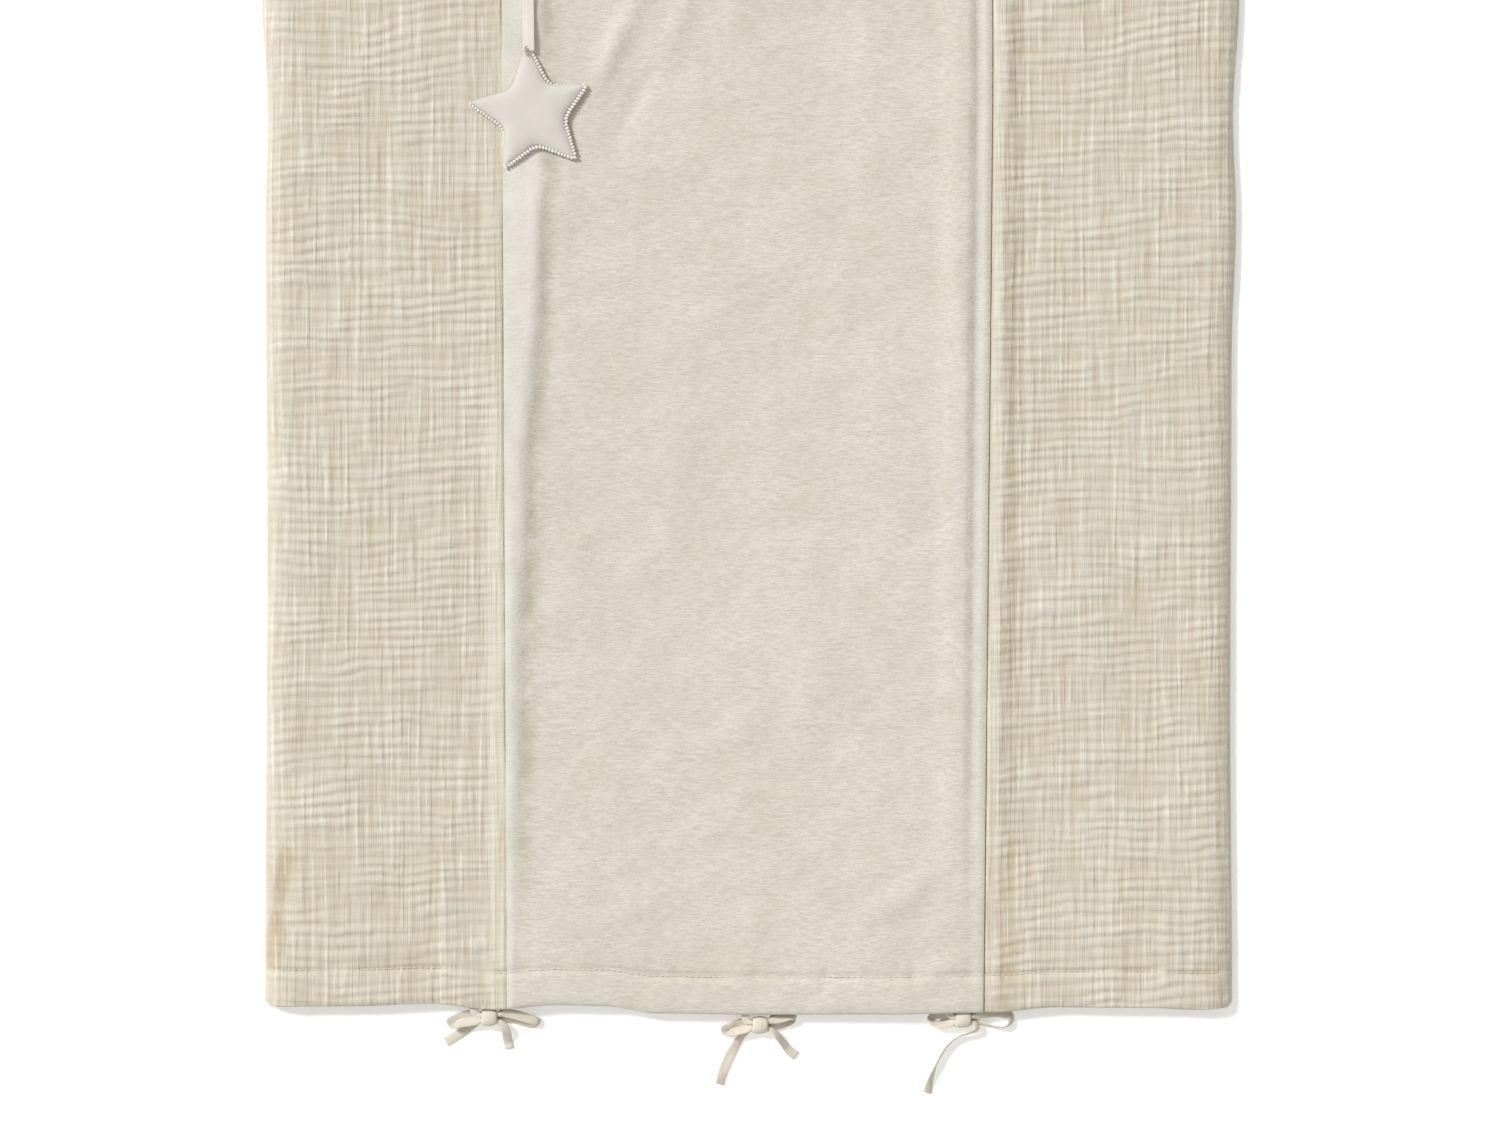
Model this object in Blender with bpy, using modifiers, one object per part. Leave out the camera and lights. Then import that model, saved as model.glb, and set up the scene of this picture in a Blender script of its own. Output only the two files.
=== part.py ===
"""Changing-mat cover: a flat cloth sleeve with a terry centre and gauze sides, closed on three edges.

The open mouth is at -Y and is tied shut with three bows. A star hangs on a ribbon from the top seam.
The cover lies flat, +Z up, with its origin under the middle of its base. Lengths are in metres.
"""
import math

import bpy
import numpy as np

MM = 0.001
GAP = 0.3 * MM                      # clearance between touching pieces

# Cover
COVER_WIDTH = 500 * MM
COVER_LENGTH = 700 * MM
CORNER_RADIUS = 6 * MM
GAUZE_THICKNESS = 1.5 * MM
TERRY_THICKNESS = 2.4 * MM
POCKET_HEIGHT = 7.1 * MM            # room between the back panel and the front sheet
EDGE_RUN = 16 * MM                  # how far in from a closed edge the front reaches its full height
LEFT_SEAM_X = -126.5 * MM
RIGHT_SEAM_X = 122.5 * MM
HEM_DEPTH = 20 * MM
HEM_EXTRA = 0.9 * MM                # the turned-in layer at the mouth

# Threads
SEAM_THREAD = 0.6 * MM
HEM_THREAD = 0.5 * MM
CLOSING_THREAD = 0.8 * MM
CLOSING_INSET = 5 * MM

# Pendant
RIBBON_X = -114 * MM
RIBBON_WIDTH = 6 * MM
RIBBON_THICKNESS = 0.8 * MM
RIBBON_FOLD_DROP = 16.5 * MM        # from the top edge to the line where the ribbon lifts
RIBBON_TURN_DROP = 30 * MM          # from the top edge to the point where the ribbon turns sideways
STAR_DROP = 205 * MM                # from the top edge to the star's upper tip
STAR_RADIUS = 35.5 * MM
STAR_INNER = 17 * MM
STAR_LEAN = math.radians(6.5)       # turned anticlockwise from point-up
STAR_LOFT = 1.9 * MM                # rise of each face above the star's rim
STAR_CLOTH = 0.5 * MM
STAR_RIM = 0.8 * MM                 # half height of a face's rim
STAR_FIT = 0.5 * MM
EDGING_THICKNESS = 1.2 * MM
TACK_LENGTH = 5 * MM
TACK_THICKNESS = 0.9 * MM
TACK_INSET = 2.2 * MM               # from the tip
TACK_SLOPE = 0.1

# Ties and knots
TIE_THICKNESS = 2.4 * MM
ROUTE_TIE = 2.4 * MM                # the tie thickness that the bows' routes are drawn for
KNOT_LENGTH = 7.5 * MM
KNOT_WALL = 1.3 * MM
KNOT_BASE = 0.2 * MM

BACK_TOP = GAUZE_THICKNESS
BACK_HEM_TOP = BACK_TOP + HEM_EXTRA
FRONT_UNDER = BACK_TOP + POCKET_HEIGHT
EDGE_UNDER = BACK_TOP + GAP
FRONT_HEM_UNDER = FRONT_UNDER - HEM_EXTRA
GAUZE_TOP = FRONT_UNDER + GAUZE_THICKNESS
TERRY_TOP = FRONT_UNDER + TERRY_THICKNESS
MOUTH_Y = -COVER_LENGTH / 2
TOP_Y = COVER_LENGTH / 2
SIDE_X = COVER_WIDTH / 2
SEAM_GAP = SEAM_THREAD + 2 * GAP
RIBBON_LIFT_Y = TOP_Y - RIBBON_FOLD_DROP
RIBBON_SWING_Y = TOP_Y - RIBBON_TURN_DROP
STAR_TIP_Y = TOP_Y - STAR_DROP
RIBBON_UNDER = TERRY_TOP + GAP
RIBBON_TOP = RIBBON_UNDER + RIBBON_THICKNESS
EDGING_REACH = EDGING_THICKNESS * 0.75 + 2 * GAP
RIBBON_END_Y = STAR_TIP_Y + EDGING_REACH + EDGING_THICKNESS / 2 + GAP
STAR_MID = TERRY_TOP + 2 * GAP + STAR_RIM + STAR_LOFT

ROUTE_SCALE = TIE_THICKNESS / ROUTE_TIE
TIE_STEP = TIE_THICKNESS * 1.1
KNOT_END = KNOT_LENGTH / 2 - GAP
LOW_PASS = KNOT_BASE + KNOT_WALL + GAP + TIE_THICKNESS / 2
HIGH_PASS = LOW_PASS + TIE_THICKNESS + GAP
ON_FLOOR = 0.2 * MM + TIE_THICKNESS / 2
PASS_Y = (TIE_THICKNESS + GAP) / 2


# ---------------------------------------------------------------- helpers

def clear_scene():
    for obj in list(bpy.data.objects):
        bpy.data.objects.remove(obj, do_unlink=True)


def collection(name):
    made = bpy.data.collections.new(name)
    bpy.context.scene.collection.children.link(made)
    return made


def material(name, colour, roughness):
    made = bpy.data.materials.new(name)
    made.use_nodes = True
    shader = made.node_tree.nodes["Principled BSDF"]
    shader.inputs["Base Color"].default_value = (*colour, 1)
    shader.inputs["Roughness"].default_value = roughness
    shader.inputs["Metallic"].default_value = 0
    return made


def place(obj, name, finish):
    """Names the object, gives it a material of its own and moves it into the part's collection."""
    obj.name = name
    obj.data.name = name
    own = finish.copy()
    own.name = name + "_finish"
    obj.data.materials.clear()
    obj.data.materials.append(own)
    for holder in list(obj.users_collection):
        holder.objects.unlink(obj)
    PARTS.objects.link(obj)
    return obj


def smooth(obj, degrees=40):
    obj.data.shade_smooth()
    obj.data.set_sharp_from_angle(angle=math.radians(degrees))


def grid(xs, ys):
    """A flat sheet with a vertex at each crossing of the given stations."""
    bpy.ops.mesh.primitive_grid_add(x_subdivisions=len(xs) - 1, y_subdivisions=len(ys) - 1, size=2)
    obj = bpy.context.object
    for vertex in obj.data.vertices:
        column = round((vertex.co.x + 1) / 2 * (len(xs) - 1))
        row = round((vertex.co.y + 1) / 2 * (len(ys) - 1))
        vertex.co = (xs[column], ys[row], 0)
    return obj


def solidify(obj, thickness, offset):
    """Gives an open sheet its thickness: offset 1 grows along the normals, -1 against them."""
    shell = obj.modifiers.new("thickness", "SOLIDIFY")
    shell.thickness = thickness
    shell.offset = offset
    shell.use_even_offset = False
    return shell


def smooth_route(points, step):
    """Points a step apart along a Catmull-Rom curve through the given ones."""
    points = np.asarray(points, float)
    ends = np.vstack([2 * points[0] - points[1], points, 2 * points[-1] - points[-2]])
    curve = []
    for before, start, stop, after in zip(ends, ends[1:], ends[2:], ends[3:]):
        for t in np.linspace(0, 1, 16, endpoint=False):
            curve.append(0.5 * (2 * start + (stop - before) * t
                                + (2 * before - 5 * start + 4 * stop - after) * t ** 2
                                + (3 * start - before - 3 * stop + after) * t ** 3))
    curve = np.vstack([curve, points[-1]])
    along = np.concatenate([[0], np.cumsum(np.linalg.norm(np.diff(curve, axis=0), axis=1))])
    count = max(2, round(along[-1] / step))
    wanted = np.linspace(0, along[-1], count + 1)
    return np.stack([np.interp(wanted, along, curve[:, k]) for k in range(3)], axis=1)


def tube(name, points, thickness, finish, closed=False, resolution=2):
    """A round cord of the given thickness through the points."""
    data = bpy.data.curves.new(name, "CURVE")
    data.dimensions = "3D"
    spline = data.splines.new("POLY")
    spline.points.add(len(points) - 1)
    for target, point in zip(spline.points, points):
        target.co = (*point, 1)
    spline.use_cyclic_u = closed
    data.bevel_depth = thickness / 2
    data.bevel_resolution = resolution
    data.use_fill_caps = not closed
    obj = bpy.data.objects.new(name, data)
    bpy.context.scene.collection.objects.link(obj)
    return place(obj, name, finish)


# ---------------------------------------------------------------- cover

def stations(low, high, count):
    return list(np.linspace(low, high, count))


def edge_stations():
    """Distances in from a closed edge, close together where the sheet curves down."""
    return [0, CORNER_RADIUS / 2, CORNER_RADIUS, EDGE_RUN * 0.625, EDGE_RUN]


def round_corner(x, y):
    """Moves a point near a corner of the cover onto the corner's arc."""
    centre_x = math.copysign(SIDE_X - CORNER_RADIUS, x)
    centre_y = math.copysign(TOP_Y - CORNER_RADIUS, y)
    out_x = (x - centre_x) * math.copysign(1, x)
    out_y = (y - centre_y) * math.copysign(1, y)
    if out_x <= 0 or out_y <= 0:
        return x, y
    shrink = max(out_x, out_y) / math.hypot(out_x, out_y)
    return (centre_x + math.copysign(out_x * shrink, x), centre_y + math.copysign(out_y * shrink, y))


def edge_rise(x, y):
    """0 at the closed left, right and top edges, growing smoothly to 1 across the cover."""
    rise = 1
    for distance in (SIDE_X - abs(x), TOP_Y - y):
        rise *= math.sin(math.pi / 2 * min(max(distance / EDGE_RUN, 0), 1))
    return rise


def sheet_rows(top_drops):
    """Stations from the mouth to the top edge."""
    hem = MOUTH_Y + HEM_DEPTH
    rows = [MOUTH_Y, MOUTH_Y + CORNER_RADIUS / 2, MOUTH_Y + CORNER_RADIUS, hem, hem + 1 * MM]
    rows += stations(hem, TOP_Y - EDGE_RUN, 5)[1:-1]
    return rows + [TOP_Y - drop for drop in reversed(top_drops)]


def thicken_hem(obj, sheet, hem, outward):
    """Solidify with the turned-in layer added from the mouth to the hem line, clear of the sides."""
    group = obj.vertex_groups.new(name="thickness")
    hem_line = MOUTH_Y + HEM_DEPTH + 0.5 * MM
    for vertex in obj.data.vertices:
        in_hem = vertex.co.y < hem_line and abs(vertex.co.x) < SIDE_X - EDGE_RUN + GAP
        share = 1 if in_hem else sheet / (sheet + hem)
        group.add([vertex.index], share, "REPLACE")
    shell = solidify(obj, sheet + hem, outward)
    shell.vertex_group = group.name
    shell.thickness_vertex_group = 0


def back_panel():
    drops = [0, CORNER_RADIUS / 2, CORNER_RADIUS, EDGE_RUN]
    columns = [-SIDE_X + drop for drop in drops] + [0] + [SIDE_X - drop for drop in reversed(drops)]
    obj = grid(columns, sheet_rows(drops))
    for vertex in obj.data.vertices:
        vertex.co.x, vertex.co.y = round_corner(vertex.co.x, vertex.co.y)
    thicken_hem(obj, GAUZE_THICKNESS, HEM_EXTRA, 1)
    return place(obj, "back_panel", GAUZE)


def front_panel(name, columns, thickness, finish):
    """A panel of the front sheet: its upper face is drawn, and the cloth grows downwards from it."""
    obj = grid(columns, sheet_rows(edge_stations()))
    for vertex in obj.data.vertices:
        x, y = round_corner(vertex.co.x, vertex.co.y)
        under = EDGE_UNDER + (FRONT_UNDER - EDGE_UNDER) * edge_rise(vertex.co.x, vertex.co.y)
        vertex.co = (x, y, under + thickness)
    # Straight-down thickness, so that the panels' side walls stay upright at the seams.
    top = [tuple(vertex.co) for vertex in obj.data.vertices]
    bpy.context.view_layer.objects.active = obj
    solid = solidify(obj, thickness, -1)
    bpy.ops.object.modifier_apply(modifier=solid.name)
    hem_line = MOUTH_Y + HEM_DEPTH + 0.5 * MM
    for vertex, above in zip(list(obj.data.vertices)[len(top):], top):
        extra = HEM_EXTRA * edge_rise(above[0], above[1]) if above[1] < hem_line else 0
        vertex.co = (above[0], above[1], above[2] - thickness - extra)
    smooth(obj)
    return place(obj, name, finish)


def front_panels():
    left_columns = [-SIDE_X + drop for drop in edge_stations()]
    left_end = LEFT_SEAM_X - SEAM_GAP / 2
    left_columns += stations(left_columns[-1], left_end, 3)[1:]
    front_panel("left_gauze_panel", left_columns, GAUZE_THICKNESS, GAUZE)
    right_end = RIGHT_SEAM_X + SEAM_GAP / 2
    right_columns = [SIDE_X - drop for drop in reversed(edge_stations())]
    right_columns = stations(right_end, right_columns[0], 3)[:-1] + right_columns
    front_panel("right_gauze_panel", right_columns, GAUZE_THICKNESS, GAUZE)
    middle = stations(LEFT_SEAM_X + SEAM_GAP / 2, RIGHT_SEAM_X - SEAM_GAP / 2, 4)
    front_panel("terry_panel", middle, TERRY_THICKNESS, TERRY)


def seam_threads():
    """The two long seams lie between the panels, following them down at the top edge."""
    for name, x in (("left_seam_thread", LEFT_SEAM_X), ("right_seam_thread", RIGHT_SEAM_X)):
        points = []
        for y in sheet_rows(edge_stations()):
            under = EDGE_UNDER + (FRONT_UNDER - EDGE_UNDER) * edge_rise(0, y)
            points.append((x, y, under + GAUZE_THICKNESS / 2))
        tube(name, points, SEAM_THREAD, THREAD)


def hem_threads():
    """The hem's stitch line on the front sheet, stepping up where the terry is thicker, and inside
    the mouth on the back panel's hem."""
    y = MOUTH_Y + HEM_DEPTH - 1 * MM
    inset = EDGE_RUN
    above = GAP + HEM_THREAD / 2
    step = 1.2 * MM
    low, high = GAUZE_TOP + above, TERRY_TOP + above
    left, right = LEFT_SEAM_X - SEAM_GAP / 2, RIGHT_SEAM_X + SEAM_GAP / 2
    front = [(-SIDE_X + inset, y, low), (left - step, y, low), (left, y, high)]
    front += [(right, y, high), (right + step, y, low), (SIDE_X - inset, y, low)]
    tube("front_hem_thread", front, HEM_THREAD, THREAD, resolution=1)
    flat = BACK_HEM_TOP + above
    back = [(x, y, flat) for x in stations(-SIDE_X + inset, SIDE_X - inset, 3)]
    tube("back_hem_thread", back, HEM_THREAD, THREAD, resolution=1)


def closing_thread():
    """One seam line inside the left, top and right edges, which closes the front onto the back."""
    x, y = SIDE_X - CLOSING_INSET, TOP_Y - CLOSING_INSET
    z = BACK_TOP + GAP + CLOSING_THREAD / 2
    start = MOUTH_Y + HEM_DEPTH + 2 * MM
    turn = CORNER_RADIUS
    corner = [(math.sin(a) * turn, math.cos(a) * turn) for a in np.linspace(0, math.pi / 2, 5)]
    right = [(x - turn + dx, y - turn + dy, z) for dx, dy in corner] + [(x, start, z)]
    left = [(-px, py, pz) for px, py, pz in reversed(right)]
    tube("closing_seam_thread", left + right, CLOSING_THREAD, THREAD, resolution=1)


# ---------------------------------------------------------------- pendant

def strip(name, route, finish, round_ends=False):
    """A flat ribbon along a list of (y, underside z). A round end reaches half a width past its point,
    so that it can turn about that point beside a neighbour."""
    half_width = RIBBON_WIDTH / 2
    steps = [(y, z, half_width) for y, z in route]
    arc = [(math.sin(a) * half_width, math.cos(a) * half_width)
           for a in np.linspace(math.radians(15), math.radians(75), 5)]
    if round_ends:
        y, z, _ = steps[0]
        steps = [(y + reach, z, wide) for reach, wide in reversed(arc)] + steps
        y, z, _ = steps[-1]
        steps += [(y - reach, z, wide) for reach, wide in arc]
    obj = grid([0, 1], [float(k) for k in range(len(steps))])
    for vertex in obj.data.vertices:
        side = 1 if vertex.co.x > 0.5 else -1
        y, z, wide = steps[round(vertex.co.y)]
        vertex.co = (RIBBON_X + side * wide, y, z + RIBBON_THICKNESS)
    bpy.context.view_layer.objects.active = obj
    flip_if_down(obj)
    count = len(obj.data.vertices)
    top = [tuple(vertex.co) for vertex in obj.data.vertices]
    bpy.ops.object.modifier_apply(modifier=solidify(obj, RIBBON_THICKNESS, -1).name)
    for vertex, above in zip(list(obj.data.vertices)[count:], top):
        vertex.co = (above[0], above[1], above[2] - RIBBON_THICKNESS)
    return place(obj, name, finish)


def flip_if_down(obj):
    """Turns a sheet's faces to look up."""
    if sum(face.normal.z * face.area for face in obj.data.polygons) < 0:
        obj.data.flip_normals()


def terry_surface(y):
    """Height of the terry's upper face on a line from the mouth to the top edge."""
    return EDGE_UNDER + (FRONT_UNDER - EDGE_UNDER) * edge_rise(0, y) + TERRY_THICKNESS


def ribbon():
    """The ribbon in three lengths: sewn into the top seam, folding up from it, and hanging free."""
    fold = [TOP_Y - drop for drop in edge_stations()]
    sewn = [(y, terry_surface(y) + GAP) for y in fold if y > RIBBON_LIFT_Y + 1 * MM]
    sewn.append((RIBBON_LIFT_Y + GAP, RIBBON_UNDER))
    strip("ribbon_sewn_end", sewn, RIBBON)
    fold_end = RIBBON_SWING_Y + RIBBON_WIDTH / 2 + GAP
    strip("ribbon_fold", [(RIBBON_LIFT_Y, RIBBON_UNDER), (fold_end, RIBBON_UNDER)], RIBBON)
    end_y = RIBBON_END_Y
    end_z = STAR_MID - RIBBON_THICKNESS / 2
    climb = 20 * MM
    hang = [(RIBBON_SWING_Y, RIBBON_UNDER), (end_y + climb, RIBBON_UNDER),
            (end_y + climb * 0.6, RIBBON_UNDER + (end_z - RIBBON_UNDER) * 0.3),
            (end_y + climb * 0.3, RIBBON_UNDER + (end_z - RIBBON_UNDER) * 0.8),
            (end_y + RIBBON_WIDTH / 2, end_z)]
    strip("pendant_ribbon", hang, RIBBON, round_ends=True)


def star_outline(reach=0.0):
    """Points round the star, its tips and hollows softened, pushed out by reach."""
    half_turn = math.pi / 5
    corners = []
    for k in range(10):
        angle = math.pi / 2 + STAR_LEAN + k * half_turn
        radius = (STAR_RADIUS if k % 2 == 0 else STAR_INNER) + reach
        corners.append(np.array([math.cos(angle), math.sin(angle)]) * radius)
    points = []
    for k, corner in enumerate(corners):
        before, after = corners[k - 1], corners[(k + 1) % 10]
        cut = 0.13 if k % 2 == 0 else 0.22
        start = corner + (before - corner) * cut
        stop = corner + (after - corner) * cut
        for t in (0, 0.33, 0.67, 1):
            points.append((1 - t) ** 2 * start + 2 * t * (1 - t) * corner + t ** 2 * stop)
    return np.array(points)


def star_centre():
    """The tip at the ribbon is fixed, so the centre follows from the star's size and lean."""
    tip = star_outline()[1]
    return np.array([RIBBON_X - tip[0], STAR_TIP_Y - tip[1]])


def star_dome(inset, rise, rim):
    """Rings from the rim to the middle of one padded face: (point, height above the star's middle)."""
    outline = star_outline(-inset)
    rings = []
    for share in (1, 0.93, 0.8, 0.6, 0.35):
        height = rim + rise * (1 - share ** 2.5)
        rings.append([(*(outline_point * share), height) for outline_point in outline])
    return rings, rim + rise


def star_sheet(name, inset, rise, rim, side):
    """A padded star face as an open sheet, made from its flat outline by insetting it ring by ring."""
    rings, crown = star_dome(inset, rise, rim)
    count = len(rings[0])
    points = [(0, 0, crown)]
    for ring in reversed(rings):
        points += ring
    faces = [(0, 1 + k, 1 + (k + 1) % count) for k in range(count)]
    for row in range(len(rings) - 1):
        inner, outer = 1 + row * count, 1 + (row + 1) * count
        for k in range(count):
            after = (k + 1) % count
            faces.append((inner + k, outer + k, outer + after, inner + after))
    centre = star_centre()
    data = bpy.data.meshes.new(name)
    data.from_pydata([(x, y, z * side) for x, y, z in points], [], faces)
    if side < 0:
        data.flip_normals()
    obj = bpy.data.objects.new(name, data)
    bpy.context.scene.collection.objects.link(obj)
    obj.location = (*centre, STAR_MID)
    return obj


def star_face(name, side):
    """The cloth of one face: a dome over the filling with a turned-in rim."""
    obj = star_sheet(name, 0, STAR_LOFT, STAR_RIM, side)
    solid = solidify(obj, STAR_RIM - GAP / 2, -1)
    solid.use_rim = True
    bpy.context.view_layer.objects.active = obj
    count = len(obj.data.vertices)
    outer = [tuple(vertex.co) for vertex in obj.data.vertices]
    bpy.ops.object.modifier_apply(modifier=solid.name)
    rim_start = count - len(star_outline())
    for index, vertex in enumerate(list(obj.data.vertices)[count:]):
        x, y, z = outer[index]
        depth = STAR_RIM - GAP / 2 if index >= rim_start else STAR_CLOTH
        vertex.co = (x, y, z - side * depth)
    smooth(obj)
    return place(obj, name, COTTON)


def star_filling():
    """Soft filling in the space between the two faces."""
    inset = 6 * STAR_FIT
    rise = STAR_LOFT - STAR_CLOTH - STAR_FIT * 0.6
    obj = star_sheet("star_filling", inset, rise, 0, 1)
    below = star_sheet("star_filling_below", inset, rise, 0, -1)
    bpy.ops.object.select_all(action="DESELECT")
    below.select_set(True)
    obj.select_set(True)
    bpy.context.view_layer.objects.active = obj
    bpy.ops.object.join()
    bpy.ops.object.mode_set(mode="EDIT")
    bpy.ops.mesh.select_all(action="SELECT")
    bpy.ops.mesh.remove_doubles(threshold=0.00001)
    bpy.ops.mesh.normals_make_consistent(inside=False)
    bpy.ops.object.mode_set(mode="OBJECT")
    smooth(obj)
    return place(obj, "star_filling", COTTON)


def star_edging():
    """A stitched cord round the star's rim, lying just outside both faces."""
    outline = star_outline(EDGING_REACH)
    centre = star_centre()
    points = [(centre[0] + x, centre[1] + y, STAR_MID) for x, y in outline]
    tube("star_edging", points, EDGING_THICKNESS, THREAD, closed=True, resolution=1)


def star_tack():
    """A short bar of stitches on the tip where the ribbon is sewn in."""
    tip = star_outline()[1] + star_centre()
    middle = star_centre()
    inward = (middle - tip) / np.linalg.norm(middle - tip)
    height = STAR_MID + STAR_RIM + STAR_LOFT * 0.36 + GAP + TACK_THICKNESS / 2
    points = []
    for reach in (TACK_INSET, TACK_INSET + TACK_LENGTH):
        x, y = tip + inward * reach
        points.append((x, y, height + (reach - TACK_INSET) * TACK_SLOPE))
    tube("star_tack", points, TACK_THICKNESS, THREAD)


# ---------------------------------------------------------------- bows

# Each tie runs from its hem through the knot, round a loop, back through the knot and out to its
# free end. Points are in millimetres from the middle of the knot: x, y and height. As heights,
# "front" and "back" are just inside the hems, "high" and "low" are the two passes through the knot,
# "floor" lies on the surface below, and a number is a height above that surface.
BOWS = {
    "left": {
        "knot": (-135.1, -5.6),
        "front": {
            "stem": [(-4.5, 14, "front"), (-6.6, 8, "front"), (-7.6, 4, "front"), (-5.8, 1.7, "high")],
            "loop": [(8, 2.4, 5.9), (13.5, 1.5, 5.1), (19, -0.1, 4.4), (23.4, -1.6, 3.9), (25.6, -3, 2.8),
                     (23.4, -4.2, 1.6), (18.4, -2.8, 1.5), (13, -1.3, 1.7), (8.4, -1.3, 2.4)],
            "tail": [(-7.5, -3.8, 2.2), (-11, -6.2, "floor"), (-15.5, -8.9, "floor"),
                     (-20, -11.6, "floor"), (-22.6, -13.2, "floor")],
        },
        "back": {
            "stem": [(4.6, 14, "back"), (7.4, 8, "back"), (8, 4.4, 3.6), (6.2, 1.9, "low")],
            "loop": [(-8, 1.6, 2.2), (-12.4, 0.6, 1.5), (-17, -1, 1.5), (-20.2, -2.7, 2.6),
                     (-18.2, -4, 3.9), (-14, -2.7, 4.5), (-9.6, -1.9, 5.2), (-5.6, -1.5, "high")],
            "tail": [(6.8, -3.2, 5.9), (9, -6.8, 5), (9.4, -10.2, 2.8), (9.9, -13.6, "floor"),
                     (10.4, -16.6, "floor")],
        },
    },
    "centre": {
        "knot": (4.9, -9.5),
        "front": {
            "stem": [(-3.4, 17.5, "front"), (-5.4, 11.5, "front"), (-7.2, 5.8, "front"),
                     (-6.6, 2.3, "high")],
            "loop": [(8, 2.9, 5.9), (12.4, 3.9, 5.1), (16.2, 4.7, 4.3), (18.8, 4.1, 3),
                     (16.8, 2.5, 1.7), (12.6, 0.7, 1.5), (8.6, -0.9, 2.3)],
            "tail": [(-7.4, -3.8, 2.2), (-11.2, -8.8, "floor"), (-14.6, -14.6, "floor"),
                     (-17.4, -20.4, "floor"), (-19.4, -26, "floor"), (-20.7, -30.9, "floor")],
        },
        "back": {
            "stem": [(5.4, 17.5, "back"), (8, 11, "back"), (8.2, 6, "low"), (6.2, 2.1, "low")],
            "loop": [(-7.6, 1.3, 2.4), (-11.6, 0.2, 1.5), (-15.6, -1.3, 1.5), (-18.4, -2.9, 2.6),
                     (-16.6, -4.3, 3.9), (-12.6, -3.3, 4.5), (-9, -2.3, 5.2), (-5.6, -1.6, "high")],
            "tail": [(7, -3.2, 5.9), (10, -6.4, 5), (12.8, -10, 2.8), (15.6, -13.6, "floor"),
                     (19, -16.4, "floor")],
        },
    },
    "right": {
        "knot": (109.8, -6.4),
        "front": {
            "stem": [(-4.2, 15, "front"), (-6.2, 9.4, "front"), (-7.4, 4.8, "front"), (-6, 1.9, "high")],
            "loop": [(8.4, 2.4, 5.8), (14, 3.4, 4.4), (20, 3.2, 3.2), (24.8, 1.4, 2.8), (25.2, -2.4, 2.8),
                     (21, -4.6, 2.6), (15, -3.8, 2.4), (9, -2.3, 2.6)],
            "tail": [(-6.6, -1.9, 2.4), (-9, -2.6, 1.5), (-11.2, -3, "floor")],
        },
        "back": {
            "stem": [(5, 15, "back"), (7.6, 9, "back"), (8.1, 4.8, 3.3), (6.2, 2, "low")],
            "loop": [(-8, 1.8, 2.3), (-12, 2, 1.5), (-15, 0.9, 1.6), (-16, -1, 2.8),
                     (-14, -2.4, 4.1), (-11, -2.6, 4.7), (-8, -2.2, 5.3), (-5.2, -1.6, "high")],
            "tail": [(6.6, -2.7, 6), (7.3, -5.4, 5.6), (3.6, -7.5, 4.4), (-1, -9, 3.3),
                     (-5.4, -11.9, 2.6), (-9.3, -16.5, 2.2), (-13.2, -23.5, "floor"),
                     (-15.9, -31, "floor"), (-17.9, -38.6, "floor")],
        },
    },
}


def tie_height(level):
    """Height of a tie's middle for a named level, or for one given in millimetres."""
    named = {
        "front": FRONT_HEM_UNDER - GAP - TIE_THICKNESS / 2,
        "back": BACK_HEM_TOP + GAP + TIE_THICKNESS / 2,
        "high": HIGH_PASS,
        "low": LOW_PASS,
        "floor": ON_FLOOR,
    }
    return named[level] if isinstance(level, str) else level * MM * ROUTE_SCALE


def knot_place(bow):
    """Where the middle of a bow's knot lies, clear of the mouth."""
    x, y = bow["knot"]
    return x * MM, MOUTH_Y + y * MM * ROUTE_SCALE


def tie_route(bow, layer):
    """All the points of one tie. The front tie first passes rightwards through the knot, high up,
    and the back tie leftwards, low down; each comes back on the other level, nearer the viewer."""
    x, y = knot_place(bow)
    first, second, side = ("high", "low", 1) if layer == "front" else ("low", "high", -1)

    def at(points):
        return [(x + px * MM * ROUTE_SCALE, y + py * MM * ROUTE_SCALE, tie_height(level))
                for px, py, level in points]

    def through(level, way, across):
        return [(x + way * end * KNOT_END, y + across * PASS_Y, tie_height(level)) for end in (-1, 0, 1)]

    return (at(bow[layer]["stem"]) + through(first, side, 1) + at(bow[layer]["loop"])
            + through(second, -side, -1) + at(bow[layer]["tail"]))


def knot(name, x, y):
    """The turn of tie round the four passes: a short sleeve with rounded corners."""
    half = PASS_Y + TIE_THICKNESS / 2 + GAP
    corner = TIE_THICKNESS / 2 + GAP
    ring = []
    for quarter in range(4):
        start = quarter * math.pi / 2
        middle = np.array([math.cos(start + math.pi / 4), math.sin(start + math.pi / 4)])
        middle = np.sign(middle) * (half - corner)
        for angle in np.linspace(start, start + math.pi / 2, 4):
            ring.append(middle + corner * np.array([math.cos(angle), math.sin(angle)]))
    count = len(ring)
    bpy.ops.mesh.primitive_cylinder_add(vertices=count, radius=1, depth=1, end_fill_type="NOTHING")
    obj = bpy.context.object
    order = sorted({(round(math.atan2(v.co.y, v.co.x), 4)) for v in obj.data.vertices})
    ring.sort(key=lambda point: math.atan2(point[1], point[0]))
    for vertex in obj.data.vertices:
        spot = ring[order.index(round(math.atan2(vertex.co.y, vertex.co.x), 4))]
        vertex.co = (vertex.co.z * KNOT_LENGTH, spot[0], spot[1])
    bpy.ops.object.mode_set(mode="EDIT")
    bpy.ops.mesh.select_all(action="SELECT")
    bpy.ops.mesh.normals_make_consistent(inside=False)
    bpy.ops.object.mode_set(mode="OBJECT")
    solidify(obj, KNOT_WALL, 1).use_even_offset = True
    obj.location = (x, y, (LOW_PASS + HIGH_PASS) / 2)
    smooth(obj)
    return place(obj, name, TIE)


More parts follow.
